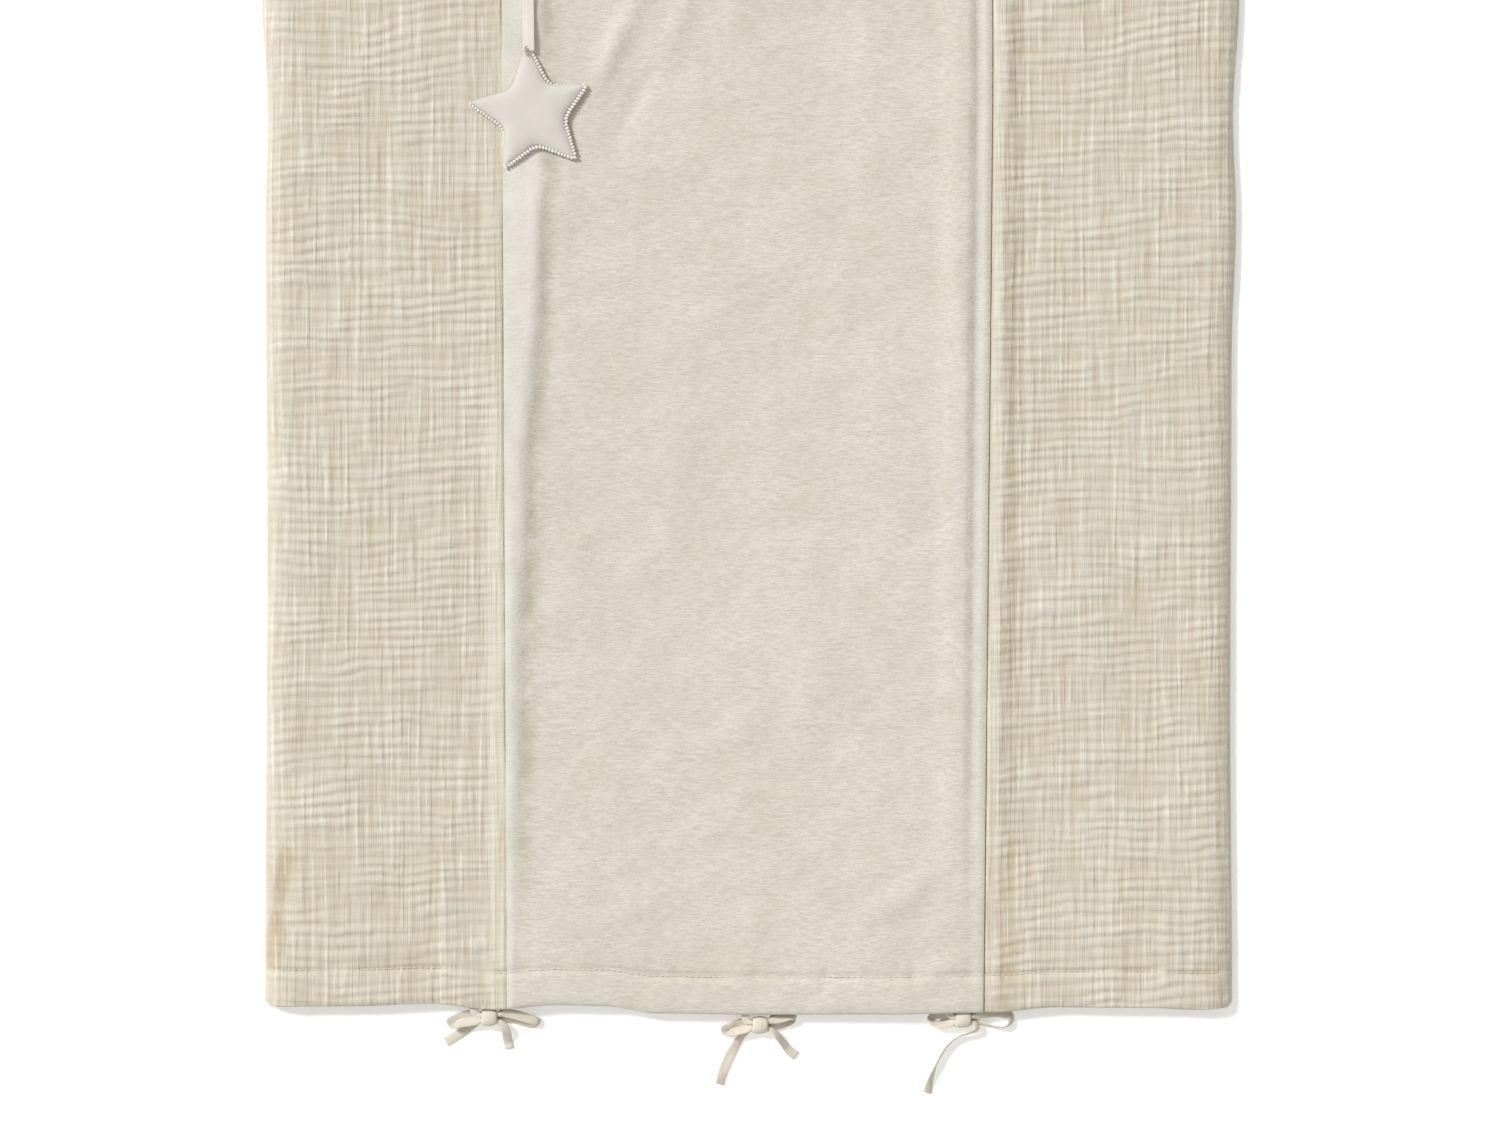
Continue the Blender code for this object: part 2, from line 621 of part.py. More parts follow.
def bows():
    for side, bow in BOWS.items():
        knot(side + "_bow_knot", *knot_place(bow))
        for layer in ("front", "back"):
            points = smooth_route(tie_route(bow, layer), TIE_STEP)
            tube(f"{side}_bow_{layer}_tie", points, TIE_THICKNESS, TIE)


clear_scene()
PARTS = collection("changing_mat_cover")
GAUZE = material("gauze", (0.63, 0.57, 0.46), 0.95)
TERRY = material("terry", (0.68, 0.63, 0.55), 0.97)
THREAD = material("thread", (0.70, 0.65, 0.56), 0.8)
RIBBON = material("ribbon", (0.72, 0.68, 0.60), 0.6)
COTTON = material("cotton", (0.74, 0.71, 0.65), 0.85)
TIE = material("tie", (0.70, 0.65, 0.55), 0.9)
back_panel()
front_panels()
seam_threads()
hem_threads()
closing_thread()
ribbon()
star_face("star_front", 1)
star_face("star_back", -1)
star_filling()
star_edging()
star_tack()
bows()
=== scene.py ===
"""Looks of a changing-mat cover: crinkled gauze sides, a terry centre, tied bows and a star on a ribbon."""
import collections
import math

import bmesh
import bpy
import numpy as np
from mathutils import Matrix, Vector


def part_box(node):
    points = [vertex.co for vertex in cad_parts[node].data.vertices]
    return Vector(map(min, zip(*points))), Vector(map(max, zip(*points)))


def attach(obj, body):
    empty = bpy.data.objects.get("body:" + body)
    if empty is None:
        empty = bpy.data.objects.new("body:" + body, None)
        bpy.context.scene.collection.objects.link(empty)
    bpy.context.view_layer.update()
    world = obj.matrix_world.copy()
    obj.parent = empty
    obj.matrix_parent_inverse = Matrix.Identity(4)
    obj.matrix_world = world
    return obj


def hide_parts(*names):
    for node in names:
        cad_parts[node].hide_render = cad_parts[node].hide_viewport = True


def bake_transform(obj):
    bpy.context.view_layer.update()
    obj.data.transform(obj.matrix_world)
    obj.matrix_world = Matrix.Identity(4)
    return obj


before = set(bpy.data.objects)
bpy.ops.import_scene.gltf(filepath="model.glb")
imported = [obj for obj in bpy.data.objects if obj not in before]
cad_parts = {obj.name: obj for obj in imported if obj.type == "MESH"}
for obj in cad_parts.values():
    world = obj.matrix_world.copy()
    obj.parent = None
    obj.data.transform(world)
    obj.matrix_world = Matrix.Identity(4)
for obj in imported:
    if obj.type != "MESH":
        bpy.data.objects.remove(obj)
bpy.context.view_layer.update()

MM = 0.001

# ---------------------------------------------------------------- places, all from the frame

BACK_LOW, BACK_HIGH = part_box("back_panel")
_, LEFT_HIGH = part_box("left_gauze_panel")
RIGHT_LOW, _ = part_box("right_gauze_panel")
TERRY_LOW, TERRY_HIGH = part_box("terry_panel")
SIDE_X = BACK_HIGH.x
TOP_Y = BACK_HIGH.y
MOUTH_Y = BACK_LOW.y
BACK_HEM_TOP = BACK_HIGH.z
GAUZE_TOP = LEFT_HIGH.z
TERRY_TOP = TERRY_HIGH.z
EDGE_TOP = GAUZE_TOP - TERRY_TOP + TERRY_LOW.z + 2.4 * MM      # the front's upper side at its sewn edge
LEFT_SEAM = (LEFT_HIGH.x + TERRY_LOW.x) / 2
RIGHT_SEAM = (RIGHT_LOW.x + TERRY_HIGH.x) / 2
EDGE_RUN = 16 * MM                   # how far in from the edge the front has fully risen
HEM_DEPTH = 20 * MM
HEM_LINE = MOUTH_Y + HEM_DEPTH
CORNER = 4 * MM
SEAM_CLEARANCE = 0.04 * MM
GAUZE_CLOTH = 0.9 * MM               # thickness
TERRY_CLOTH = 1.5 * MM


# ---------------------------------------------------------------- camera, light and floor

def set_the_camera():
    """Straight above the cover, over its lower half."""
    eye_height = 2.0
    seen_width = 773.2 * MM
    middle_y = -120.3 * MM
    sensor = 36
    lens_data = bpy.data.cameras.new("camera")
    lens_data.sensor_width = sensor
    lens_data.lens = sensor * (eye_height - TERRY_TOP) / seen_width
    camera = bpy.data.objects.new("camera", lens_data)
    camera.location = (0, middle_y, eye_height)
    bpy.context.scene.collection.objects.link(camera)
    bpy.context.scene.camera = camera


def light_the_room():
    """A large soft window high on the upper left, and an even white room."""
    window = bpy.data.lights.new("window_light", "SUN")
    window.energy = 2.75
    window.angle = math.radians(13)
    window.color = (1.0, 0.995, 0.985)
    lamp = bpy.data.objects.new("window_light", window)
    shines_towards = Vector((0.62, -0.44, -0.66))
    lamp.rotation_euler = shines_towards.to_track_quat("-Z", "Y").to_euler()
    bpy.context.scene.collection.objects.link(lamp)
    world = bpy.data.worlds.new("room")
    world.use_nodes = True
    walls = world.node_tree.nodes["Background"].inputs
    walls["Color"].default_value = (1, 0.972, 0.93, 1)
    walls["Strength"].default_value = 0.5
    bpy.context.scene.world = world
    bpy.context.scene.view_settings.view_transform = "Standard"


def lay_the_floor():
    """A wide white floor that glows a little, so that the cover's shadow on it stays faint."""
    bpy.ops.mesh.primitive_plane_add(size=30, location=(0, 0, -0.0001))
    floor = bpy.context.object
    floor.name = "floor"
    paint = bpy.data.materials.new("floor_paint")
    paint.use_nodes = True
    shader = paint.node_tree.nodes["Principled BSDF"]
    shader.inputs["Base Color"].default_value = (0.97, 0.97, 0.97, 1)
    shader.inputs["Roughness"].default_value = 0.9
    shader.inputs["Specular IOR Level"].default_value = 0.1
    shader.inputs["Emission Color"].default_value = (1, 1, 1, 1)
    shader.inputs["Emission Strength"].default_value = 0.3
    floor.data.materials.append(paint)


# ---------------------------------------------------------------- helpers for cloth

def ease(t):
    t = np.clip(t, 0, 1)
    return t * t * (3 - 2 * t)


def table_of_chance(seed):
    return np.random.RandomState(seed).uniform(-1, 1, (128, 128))


def wander(x, y, across, along, seed):
    """Smooth chance variation from -1 to 1, with features of the given sizes across and along."""
    table = table_of_chance(seed)
    gx, gy = x / across + 512.3, y / along + 512.7
    ix, iy = np.floor(gx).astype(int), np.floor(gy).astype(int)
    fx, fy = ease(gx - ix), ease(gy - iy)
    corner = [table[(ix + dx) % 128, (iy + dy) % 128] for dx in (0, 1) for dy in (0, 1)]
    low = corner[0] * (1 - fy) + corner[1] * fy
    high = corner[2] * (1 - fy) + corner[3] * fy
    return low * (1 - fx) + high * fx


def hump(t, half_width):
    """A soft ridge of height 1 at 0."""
    return np.exp(-(t / half_width) ** 2)


def grid_mesh(name, points, closed=False):
    """A quad mesh over an array of points, rows by columns; closed joins the last column to the first."""
    rows, columns = points.shape[:2]
    index = np.arange(rows * columns).reshape(rows, columns)
    if closed:
        index = np.hstack([index, index[:, :1]])
    quads = np.stack([index[:-1, :-1], index[:-1, 1:], index[1:, 1:], index[1:, :-1]], -1).reshape(-1, 4)
    return new_piece(name, points.reshape(-1, 3).tolist(), quads.tolist())


def new_piece(name, points, faces):
    mesh = bpy.data.meshes.new(name)
    mesh.from_pydata(points, [], faces)
    piece = bpy.data.objects.new(name, mesh)
    bpy.context.scene.collection.objects.link(piece)
    return piece


def points_of(piece):
    """The piece's points, as rows of x, y and z."""
    places = np.zeros(len(piece.data.vertices) * 3, np.float32)
    piece.data.vertices.foreach_get("co", places)
    return places.reshape(-1, 3)


def store(piece, name, values, kind="FLOAT"):
    """Keeps a value for each point under a name, for the finishes to read."""
    layer = piece.data.attributes.new(name, kind, "POINT")
    field = "value" if kind == "FLOAT" else "vector"
    layer.data.foreach_set(field, np.asarray(values, np.float32).reshape(-1))


def select_only(piece):
    bpy.ops.object.select_all(action="DESELECT")
    bpy.context.view_layer.objects.active = piece
    piece.select_set(True)


def apply_all(piece):
    select_only(piece)
    for modifier in list(piece.modifiers):
        bpy.ops.object.modifier_apply(modifier=modifier.name)
    piece.select_set(False)


def thicken(piece, thickness, offset=-1):
    shell = piece.modifiers.new("thickness", "SOLIDIFY")
    shell.thickness = thickness
    shell.offset = offset
    apply_all(piece)


def face_outwards(piece):
    select_only(piece)
    bpy.ops.object.mode_set(mode="EDIT")
    bpy.ops.mesh.select_all(action="SELECT")
    bpy.ops.mesh.normals_make_consistent(inside=False)
    bpy.ops.object.mode_set(mode="OBJECT")
    piece.select_set(False)


def face_up(piece, up=True):
    """Turns an open sheet's faces all up, or all down, by the one in its middle."""
    faces = piece.data.polygons
    if (faces[len(faces) // 2].normal.z < 0) == up:
        piece.data.flip_normals()


def edited(piece, change):
    """Runs a change on the piece's mesh."""
    work = bmesh.new()
    work.from_mesh(piece.data)
    change(work)
    work.to_mesh(piece.data)
    work.free()


def weld(piece):
    edited(piece, lambda work: bmesh.ops.remove_doubles(work, verts=work.verts, dist=0.001 * MM))


def close_ends(band, around, rows):
    """Closes a tube, made as rows of points, with a face at each end."""
    def add_ends(work):
        work.verts.ensure_lookup_table()
        for row in (0, rows - 1):
            work.faces.new([work.verts[row * around + k] for k in range(around)])
    edited(band, add_ends)


def squared(wave, power):
    """A sine or cosine with its tops flattened, for a softly square section."""
    return np.sign(wave) * np.abs(wave) ** power


def cover_with(piece, finish, nodes=()):
    """Smooth shading and a material, and hides the CAD solids that the piece stands for."""
    piece.data.shade_smooth()
    piece.data.materials.clear()
    piece.data.materials.append(finish)
    if nodes:
        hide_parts(*nodes)


def dress(piece, finish, body, nodes=()):
    """Covers a piece that moves with one body."""
    cover_with(piece, finish, nodes)
    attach(piece, body)
    return piece


# ---------------------------------------------------------------- the ties, whose routes the CAD shares

TIE_THICKNESS = 2.4 * MM
GAP = 0.3 * MM
KNOT_LENGTH = 7.5 * MM
LOW_PASS = 3.0 * MM
HIGH_PASS = 5.7 * MM
PASS_Y = (TIE_THICKNESS + GAP) / 2
KNOT_END = KNOT_LENGTH / 2 - GAP
TIE_WIDTH = 5.0 * MM
TIE_CLOTH = 0.85 * MM
BUNCHED_WIDTH = 2.5 * MM             # where the tie passes through its knot
BUNCHED_CLOTH = 2.2 * MM
TIE_REST = 0.75 * MM                 # a flat tie's middle above the floor

# Each tie runs from its hem through the knot, round a loop, back through the knot and out to its
# free end. Points are in millimetres from the middle of the knot: x, y and height. As heights,
# "front" and "back" are just inside the hems, "high" and "low" are the two passes through the knot,
# "floor" lies on the surface below, and a number is a height above that surface.
BOWS = {
    "left": {
        "knot": (-135.1, -5.6),
        "front": {
            "stem": [(-4.5, 14, "front"), (-6.6, 8, "front"), (-7.6, 4, "front"), (-5.8, 1.7, "high")],
            "loop": [(8, 2.4, 5.9), (13.5, 1.5, 5.1), (19, -0.1, 4.4), (23.4, -1.6, 3.9), (25.6, -3, 2.8),
                     (23.4, -4.2, 1.6), (18.4, -2.8, 1.5), (13, -1.3, 1.7), (8.4, -1.3, 2.4)],
            "tail": [(-7.5, -3.8, 2.2), (-11, -6.2, "floor"), (-15.5, -8.9, "floor"),
                     (-20, -11.6, "floor"), (-22.6, -13.2, "floor")],
        },
        "back": {
            "stem": [(4.6, 14, "back"), (7.4, 8, "back"), (8, 4.4, 3.6), (6.2, 1.9, "low")],
            "loop": [(-8, 1.6, 2.2), (-12.4, 0.6, 1.5), (-17, -1, 1.5), (-20.2, -2.7, 2.6),
                     (-18.2, -4, 3.9), (-14, -2.7, 4.5), (-9.6, -1.9, 5.2), (-5.6, -1.5, "high")],
            "tail": [(6.8, -3.2, 5.9), (9, -6.8, 5), (9.4, -10.2, 2.8), (9.9, -13.6, "floor"),
                     (10.4, -16.6, "floor")],
        },
    },
    "centre": {
        "knot": (4.9, -9.5),
        "front": {
            "stem": [(-3.4, 17.5, "front"), (-5.4, 11.5, "front"), (-7.2, 5.8, "front"),
                     (-6.6, 2.3, "high")],
            "loop": [(8, 2.9, 5.9), (12.4, 3.9, 5.1), (16.2, 4.7, 4.3), (18.8, 4.1, 3),
                     (16.8, 2.5, 1.7), (12.6, 0.7, 1.5), (8.6, -0.9, 2.3)],
            "tail": [(-7.4, -3.8, 2.2), (-11.2, -8.8, "floor"), (-14.6, -14.6, "floor"),
                     (-17.4, -20.4, "floor"), (-19.4, -26, "floor"), (-20.7, -30.9, "floor")],
        },
        "back": {
            "stem": [(5.4, 17.5, "back"), (8, 11, "back"), (8.2, 6, "low"), (6.2, 2.1, "low")],
            "loop": [(-7.6, 1.3, 2.4), (-11.6, 0.2, 1.5), (-15.6, -1.3, 1.5), (-18.4, -2.9, 2.6),
                     (-16.6, -4.3, 3.9), (-12.6, -3.3, 4.5), (-9, -2.3, 5.2), (-5.6, -1.6, "high")],
            "tail": [(7, -3.2, 5.9), (10, -6.4, 5), (12.8, -10, 2.8), (15.6, -13.6, "floor"),
                     (19, -16.4, "floor")],
        },
    },
    "right": {
        "knot": (109.8, -6.4),
        "front": {
            "stem": [(-4.2, 15, "front"), (-6.2, 9.4, "front"), (-7.4, 4.8, "front"), (-6, 1.9, "high")],
            "loop": [(8.4, 2.4, 5.8), (14, 3.4, 4.4), (20, 3.2, 3.2), (24.8, 1.4, 2.8), (25.2, -2.4, 2.8),
                     (21, -4.6, 2.6), (15, -3.8, 2.4), (9, -2.3, 2.6)],
            "tail": [(-6.6, -1.9, 2.4), (-9, -2.6, 1.5), (-11.2, -3, "floor")],
        },
        "back": {
            "stem": [(5, 15, "back"), (7.6, 9, "back"), (8.1, 4.8, 3.3), (6.2, 2, "low")],
            "loop": [(-8, 1.8, 2.3), (-12, 2, 1.5), (-15, 0.9, 1.6), (-16, -1, 2.8),
                     (-14, -2.4, 4.1), (-11, -2.6, 4.7), (-8, -2.2, 5.3), (-5.2, -1.6, "high")],
            "tail": [(6.6, -2.7, 6), (7.3, -5.4, 5.6), (3.6, -7.5, 4.4), (-1, -9, 3.3),
                     (-5.4, -11.9, 2.6), (-9.3, -16.5, 2.2), (-13.2, -23.5, "floor"),
                     (-15.9, -31, "floor"), (-17.9, -38.6, "floor")],
        },
    },
}

# How far each point of a loop or a tail turns up on its edge, from 0 lying flat to 1 on edge
ON_EDGE = {
    ("left", "front"): {"loop": [0.1, 0.2, 0.3, 0.2, 0, 0, 0.2, 0.3, 0.2]},
    ("centre", "front"): {"loop": [0.3, 0.5, 0.4, 0.1, 0.1, 0.3, 0.3], "tail": [0.5, 0.2, 0, 0, 0.3, 0.3]},
    ("centre", "back"): {"loop": [0.3, 0.4, 0.3, 0, 0.2, 0.4, 0.4, 0.2], "tail": [0.6, 0.5, 0.4, 0.1, 0]},
    ("right", "front"): {"loop": [0, 0, 0, 0.5, 1, 1, 0.9, 0.5]},
    ("right", "back"): {"loop": [0.3, 0.3, 0.2, 0.1, 0.3, 0.6, 0.5, 0.2],
                        "tail": [0.5, 0.8, 0.9, 1, 1, 1, 0.9, 0.5, 0.1]},
}


def tie_height(level):
    named = {
        "front": GAUZE_TOP - 3.9 * MM,
        "back": BACK_HEM_TOP + 1.5 * MM,
        "high": HIGH_PASS,
        "low": LOW_PASS,
        "floor": TIE_REST,
    }
    return named[level] if isinstance(level, str) else level * MM


def knot_place(bow):
    return bow["knot"][0] * MM, MOUTH_Y + bow["knot"][1] * MM


def tie_route(side_name, bow, layer):
    """A tie's points, and for each one how open the cloth lies, from 0 bunched in the knot to 1 flat,
    and its lean, from 0 lying flat to 1 up on its edge."""
    x, y = knot_place(bow)
    first, second, side = ("high", "low", 1) if layer == "front" else ("low", "high", -1)
    points, opened, lean = [], [], []

    def add(px, py, level, how_open, how_lean):
        points.append((x + px * MM, y + py * MM, tie_height(level)))
        opened.append(how_open)
        lean.append(how_lean)

    def through(level, way, across):
        for end in (-1, 0, 1):
            add(way * end * KNOT_END / MM, across * PASS_Y / MM, level, 0, 0)

    stem, loop, tail = (bow[layer][stretch] for stretch in ("stem", "loop", "tail"))
    for k, (px, py, level) in enumerate(stem):
        add(px, py, level, 1 - 0.7 * k / len(stem), 0)
    through(first, side, 1)
    leans = ON_EDGE.get((side_name, layer), {})
    for k, (px, py, level) in enumerate(loop):
        middle = 1 - abs(2 * (k + 0.5) / len(loop) - 1)
        add(px, py, level, min(1, 0.5 + 1.2 * middle), leans.get("loop", [0.12] * len(loop))[k])
    through(second, -side, -1)
    for k, (px, py, level) in enumerate(tail):
        add(px, py, level, min(1, 0.5 + 0.25 * k), leans.get("tail", [0] * len(tail))[k])
    return np.array(points), np.array(opened), np.array(lean)


def smooth_route(values, pieces=14):
    """A Catmull-Rom curve through rows of values."""
    ends = np.vstack([2 * values[0] - values[1], values, 2 * values[-1] - values[-2]])
    curve = []
    for before, start, stop, after in zip(ends, ends[1:], ends[2:], ends[3:]):
        for t in np.linspace(0, 1, pieces, endpoint=False):
            curve.append(0.5 * (2 * start + (stop - before) * t
                                + (2 * before - 5 * start + 4 * stop - after) * t ** 2
                                + (3 * start - before - 3 * stop + after) * t ** 3))
    return np.vstack([curve, values[-1]])


def even_steps(curve, step):
    along = np.concatenate([[0], np.cumsum(np.linalg.norm(np.diff(curve[:, :3], axis=0), axis=1))])
    wanted = np.linspace(0, along[-1], max(3, round(along[-1] / step)) + 1)
    columns = [np.interp(wanted, along, curve[:, k]) for k in range(curve.shape[1])]
    return np.stack(columns, 1), along[-1]


def flat_section(count=14):
    """Half-width and half-thickness shares round a soft flat section."""
    angles = np.linspace(0, 2 * math.pi, count, endpoint=False)
    return squared(np.cos(angles), 0.55), squared(np.sin(angles), 0.8)


def band_directions(centres, lean):
    """The line's heading and the cloth's width direction at each step. The width turns with the line
    and settles towards its lean wherever the line runs level."""
    along = np.gradient(centres, axis=0)
    along /= np.linalg.norm(along, axis=1)[:, None]
    wide = np.cross(along[0], (0, 0, 1.0))
    wide_way = []
    for ahead, wanted in zip(along, lean):
        wide = wide - ahead * wide.dot(ahead)
        wide /= np.linalg.norm(wide)
        level = np.cross(ahead, (0, 0, 1.0))
        flat = np.linalg.norm(level)
        if flat > 0.3:
            level /= flat
            upward = np.cross(level, ahead)
            angle = math.atan2(wide.dot(upward), wide.dot(level))
            miss = (wanted * math.radians(82) - angle + math.pi / 2) % math.pi - math.pi / 2
            angle += 0.22 * flat ** 2 * miss
            wide = level * math.cos(angle) + upward * math.sin(angle)
        wide_way.append(wide)
    return along, np.array(wide_way)


def swept_band(name, centres, width, thickness, lean, seed):
    """A closed band of soft cloth along a line, lifted where it would sink into the floor."""
    along, wide_way = band_directions(centres, lean)
    thick_way = np.cross(wide_way, along)
    reach_down = np.abs(wide_way[:, 2]) * width / 2 + np.abs(thick_way[:, 2]) * thickness / 2
    centres = centres.copy()
    centres[:, 2] = np.maximum(centres[:, 2], reach_down + 0.15 * MM)
    wide, thick = flat_section()
    run = np.arange(len(centres))
    ripple = 1 + 0.12 * np.sin(run[:, None] * 0.55 + wide[None] * 2.0 + seed)
    crease = 0.16 * np.sin(run * 0.21 + seed)[:, None] * np.cos(3 * wide[None]) * thickness[:, None]
    camber = -0.09 * (wide ** 2)[None] * width[:, None] * 0.5 + crease
    points = (centres[:, None] + wide_way[:, None] * (wide[None] * width[:, None] / 2)[..., None]
              + thick_way[:, None] * (thick[None] * thickness[:, None] / 2 * ripple + camber)[..., None])
    points[:, :, 2] = np.maximum(points[:, :, 2], 0.12 * MM)
    band = grid_mesh(name, points, closed=True)
    close_ends(band, len(wide), len(centres))
    face_outwards(band)
    weave_map(band, centres, len(wide))
    return band, centres


def weave_map(band, centres, around):
    """Stores each point's place along and across the band, so that a weave can follow it."""
    step = np.concatenate([[0], np.cumsum(np.linalg.norm(np.diff(centres, axis=0), axis=1))])
    wide, _ = flat_section(around)
    place = np.zeros((len(centres), around, 3), np.float32)
    place[:, :, 0] = wide[None] * TIE_WIDTH / 2
    place[:, :, 1] = step[:, None]
    store(band, "along_band", place, "FLOAT_VECTOR")


def make_knot(name, x, y):
    """The turn of tie round its four passes: a short soft sleeve with creases along it."""
    half = PASS_Y + TIE_THICKNESS / 2 + GAP
    wall = 1.55 * MM
    around = 40
    angles = np.linspace(0, 2 * math.pi, around, endpoint=False)
    round_y, round_z = squared(np.cos(angles), 0.78), squared(np.sin(angles), 0.78)
    # The sleeve's section as shares of its length and of its wall, round the outside and back inside
    profile = [(-0.46, 0.0), (-0.54, 0.2), (-0.52, 0.5), (-0.4, 0.82), (-0.2, 1.0), (0.0, 1.08),
               (0.2, 1.02), (0.4, 0.84), (0.52, 0.5), (0.54, 0.2), (0.46, 0.0), (0.2, -0.1), (-0.2, -0.1)]
    middle = (LOW_PASS + HIGH_PASS) / 2
    rings = []
    for along, out in profile:
        crease = 1 + 0.035 * np.sin(5 * angles + along * 7)
        reach = half + wall * out * crease
        slant = 0.5 * MM * np.sin(angles + 0.6)
        rings.append(np.stack([x + along * KNOT_LENGTH + slant, y + round_y * reach,
                               np.maximum(middle + round_z * reach, 0.15 * MM)], 1))
    rings.append(rings[0])
    knot = grid_mesh(name, np.array(rings), closed=True)
    weld(knot)
    face_outwards(knot)
    smoother = knot.modifiers.new("round", "SUBSURF")
    smoother.levels = smoother.render_levels = 1
    apply_all(knot)
    spot = points_of(knot) - np.array([x, y, middle], np.float32)
    turn = np.arctan2(spot[:, 2], spot[:, 1]) * (half + wall)
    store(knot, "along_band", np.stack([spot[:, 0], turn, spot[:, 0] * 0], 1), "FLOAT_VECTOR")
    return knot


def tie_the_bows(finish):
    for side, bow in BOWS.items():
        x, y = knot_place(bow)
        knot = make_knot(side + "_knot_turn", x, y)
        dress(knot, finish, "cover", [side + "_bow_knot"])
        for number, layer in enumerate(("front", "back")):
            rows = np.column_stack(tie_route(side, bow, layer))
            steps, _ = even_steps(smooth_route(rows), 0.7 * MM)
            open_share = ease(np.clip(steps[:, 3], 0, 1))
            width = BUNCHED_WIDTH + (TIE_WIDTH - BUNCHED_WIDTH) * open_share
            thickness = BUNCHED_CLOTH + (TIE_CLOTH - BUNCHED_CLOTH) * open_share
            leaning = np.clip(steps[:, 4], 0, 1)
            band, centres = swept_band(f"{side}_{layer}_tie", steps[:, :3], width, thickness, leaning, number)
            dress(band, finish, "cover", [f"{side}_bow_{layer}_tie"])


# ---------------------------------------------------------------- the front sheet's shape

LEFT_LEAN, RIGHT_LEAN = 0.0048, 0.010      # sideways run for each metre along
RIGHT_LEAN_START = 350 * MM                # the right seam leans more and more from here down


def seam_place(y, side):
    """The seams lean a little, so the terry narrows towards the mouth."""
    if side == "left":
        return LEFT_SEAM - LEFT_LEAN * (y + 87 * MM)
    return RIGHT_SEAM + RIGHT_LEAN * (y + 145 * MM) * ease((RIGHT_LEAN_START - y) / (250 * MM))


def line_through(x, stops):
    """A smooth line through (place, value) pairs given in millimetres."""
    places, values = np.array(stops, float).T
    spot = np.interp(x / MM, places, np.arange(len(places)))
    base = np.clip(np.floor(spot).astype(int), 0, len(places) - 2)
    share = ease(spot - base)
    return (values[base] * (1 - share) + values[base + 1] * share) * MM


# How far the outline wanders: places along the mouth or a side, and the shift there, in millimetres
MOUTH_SWAY = [(-250, 0.4), (-205, 0.6), (-165, 2.0), (-135, -1.2), (-100, 1.2), (-75, 0.6), (-48, -3.2),
              (0, -3.8), (75, -3.6), (112, -2.8), (130, -2.4), (158, 0), (205, -0.2), (232, -1.2),
              (250, -0.2)]
LEFT_SWAY = [(-350, -1), (-120, 0.2), (60, -0.6), (110, 0.6), (172, -2.4), (350, -1)]
RIGHT_SWAY = [(-350, -0.4), (-200, -1.4), (-20, -0.8), (60, 1.6), (110, 0), (172, 3.2), (350, 0)]


def sway(x, y):
    """Moves nominal points so that the outline and the seams wander as slack cloth does."""
    to_mouth = np.exp(-(y - MOUTH_Y) / (70 * MM))
    new_y = y + line_through(x, MOUTH_SWAY) * to_mouth
    left_seam, right_seam = seam_place(y, "left"), seam_place(y, "right")
    new_left = -SIDE_X + line_through(y, LEFT_SWAY)
    new_right = SIDE_X + line_through(y, RIGHT_SWAY)
    stops = [-SIDE_X, LEFT_SEAM, RIGHT_SEAM, SIDE_X]
    share = [np.clip((x - a) / (b - a), 0, 1) for a, b in zip(stops, stops[1:])]
    targets = [new_left, left_seam, right_seam, new_right]
    new_x = targets[0] + sum((b - a) * part for part, a, b in zip(share, targets, targets[1:]))
    return new_x, new_y


def round_corner(x, y):
    """Moves points near a corner of the cover onto its rounded corner."""
    out_x = np.abs(x) - (SIDE_X - CORNER)
    out_y = np.abs(y) - (TOP_Y - CORNER)
    inside = (out_x > 0) & (out_y > 0)
    shrink = np.where(inside, np.maximum(out_x, out_y) / np.maximum(np.hypot(out_x, out_y), 1e-9), 1)
    new_x = np.where(inside, np.sign(x) * (SIDE_X - CORNER + out_x * shrink), x)
    new_y = np.where(inside, np.sign(y) * (TOP_Y - CORNER + out_y * shrink), y)
    return new_x, new_y


def edge_rise(x, y):
    """How far the front has risen from its sewn edge, with most of the rise at the edge itself."""
    from_side = np.clip((SIDE_X - np.abs(x)) / EDGE_RUN, 0, 1)
    from_top = np.clip((TOP_Y - y) / EDGE_RUN, 0, 1)
    return (1 - (1 - from_side) ** 2.4) ** 0.65 * (1 - (1 - from_top) ** 2.4) ** 0.65


# A soft wrinkle: middle x and y, half-length, half-width and height in millimetres, and its heading
WRINKLES = [
    (-71, 143, 26, 5.5, 1.4, 66), (-60, 116, 20, 5, -0.9, 62), (-38, 156, 22, 6, 0.6, 66),
    (-96, 60, 30, 7, 0.5, 84), (104, -62, 18, 5, 0.45, 128), (108, 10, 34, 5, 0.5, 96),
    (82, -290, 19, 6.5, 0.75, 41), (98, -331, 17, 4.5, 0.5, 24), (62, -305, 16, 6, 0.35, 50),
    (15, -322, 22, 4, 0.3, 8), (-60, -300, 30, 7, 0.3, 24), (40, -170, 60, 12, 0.35, 66),
    (-30, -40, 70, 14, 0.35, 75), (60, 120, 80, 12, 0.4, 92), (10, 220, 80, 16, 0.5, 80),
    (-241, -300, 28, 5, -1.0, 88), (-104, 20, 50, 5, -0.5, 88),
]
WRINKLE_LOFT = 1.5


def wrinkled(x, y):
    total = np.zeros_like(x)
    for wx, wy, half_length, half_width, height, heading in WRINKLES:
        turn = math.radians(heading)
        dx, dy = x - wx * MM, y - wy * MM
        along = dx * math.cos(turn) + dy * math.sin(turn)
        across = -dx * math.sin(turn) + dy * math.cos(turn)
        across = across + (along / (half_length * MM)) ** 2 * 0.5 * MM
        total += WRINKLE_LOFT * height * MM * hump(along, half_length * MM) * hump(across, half_width * MM)
    return total


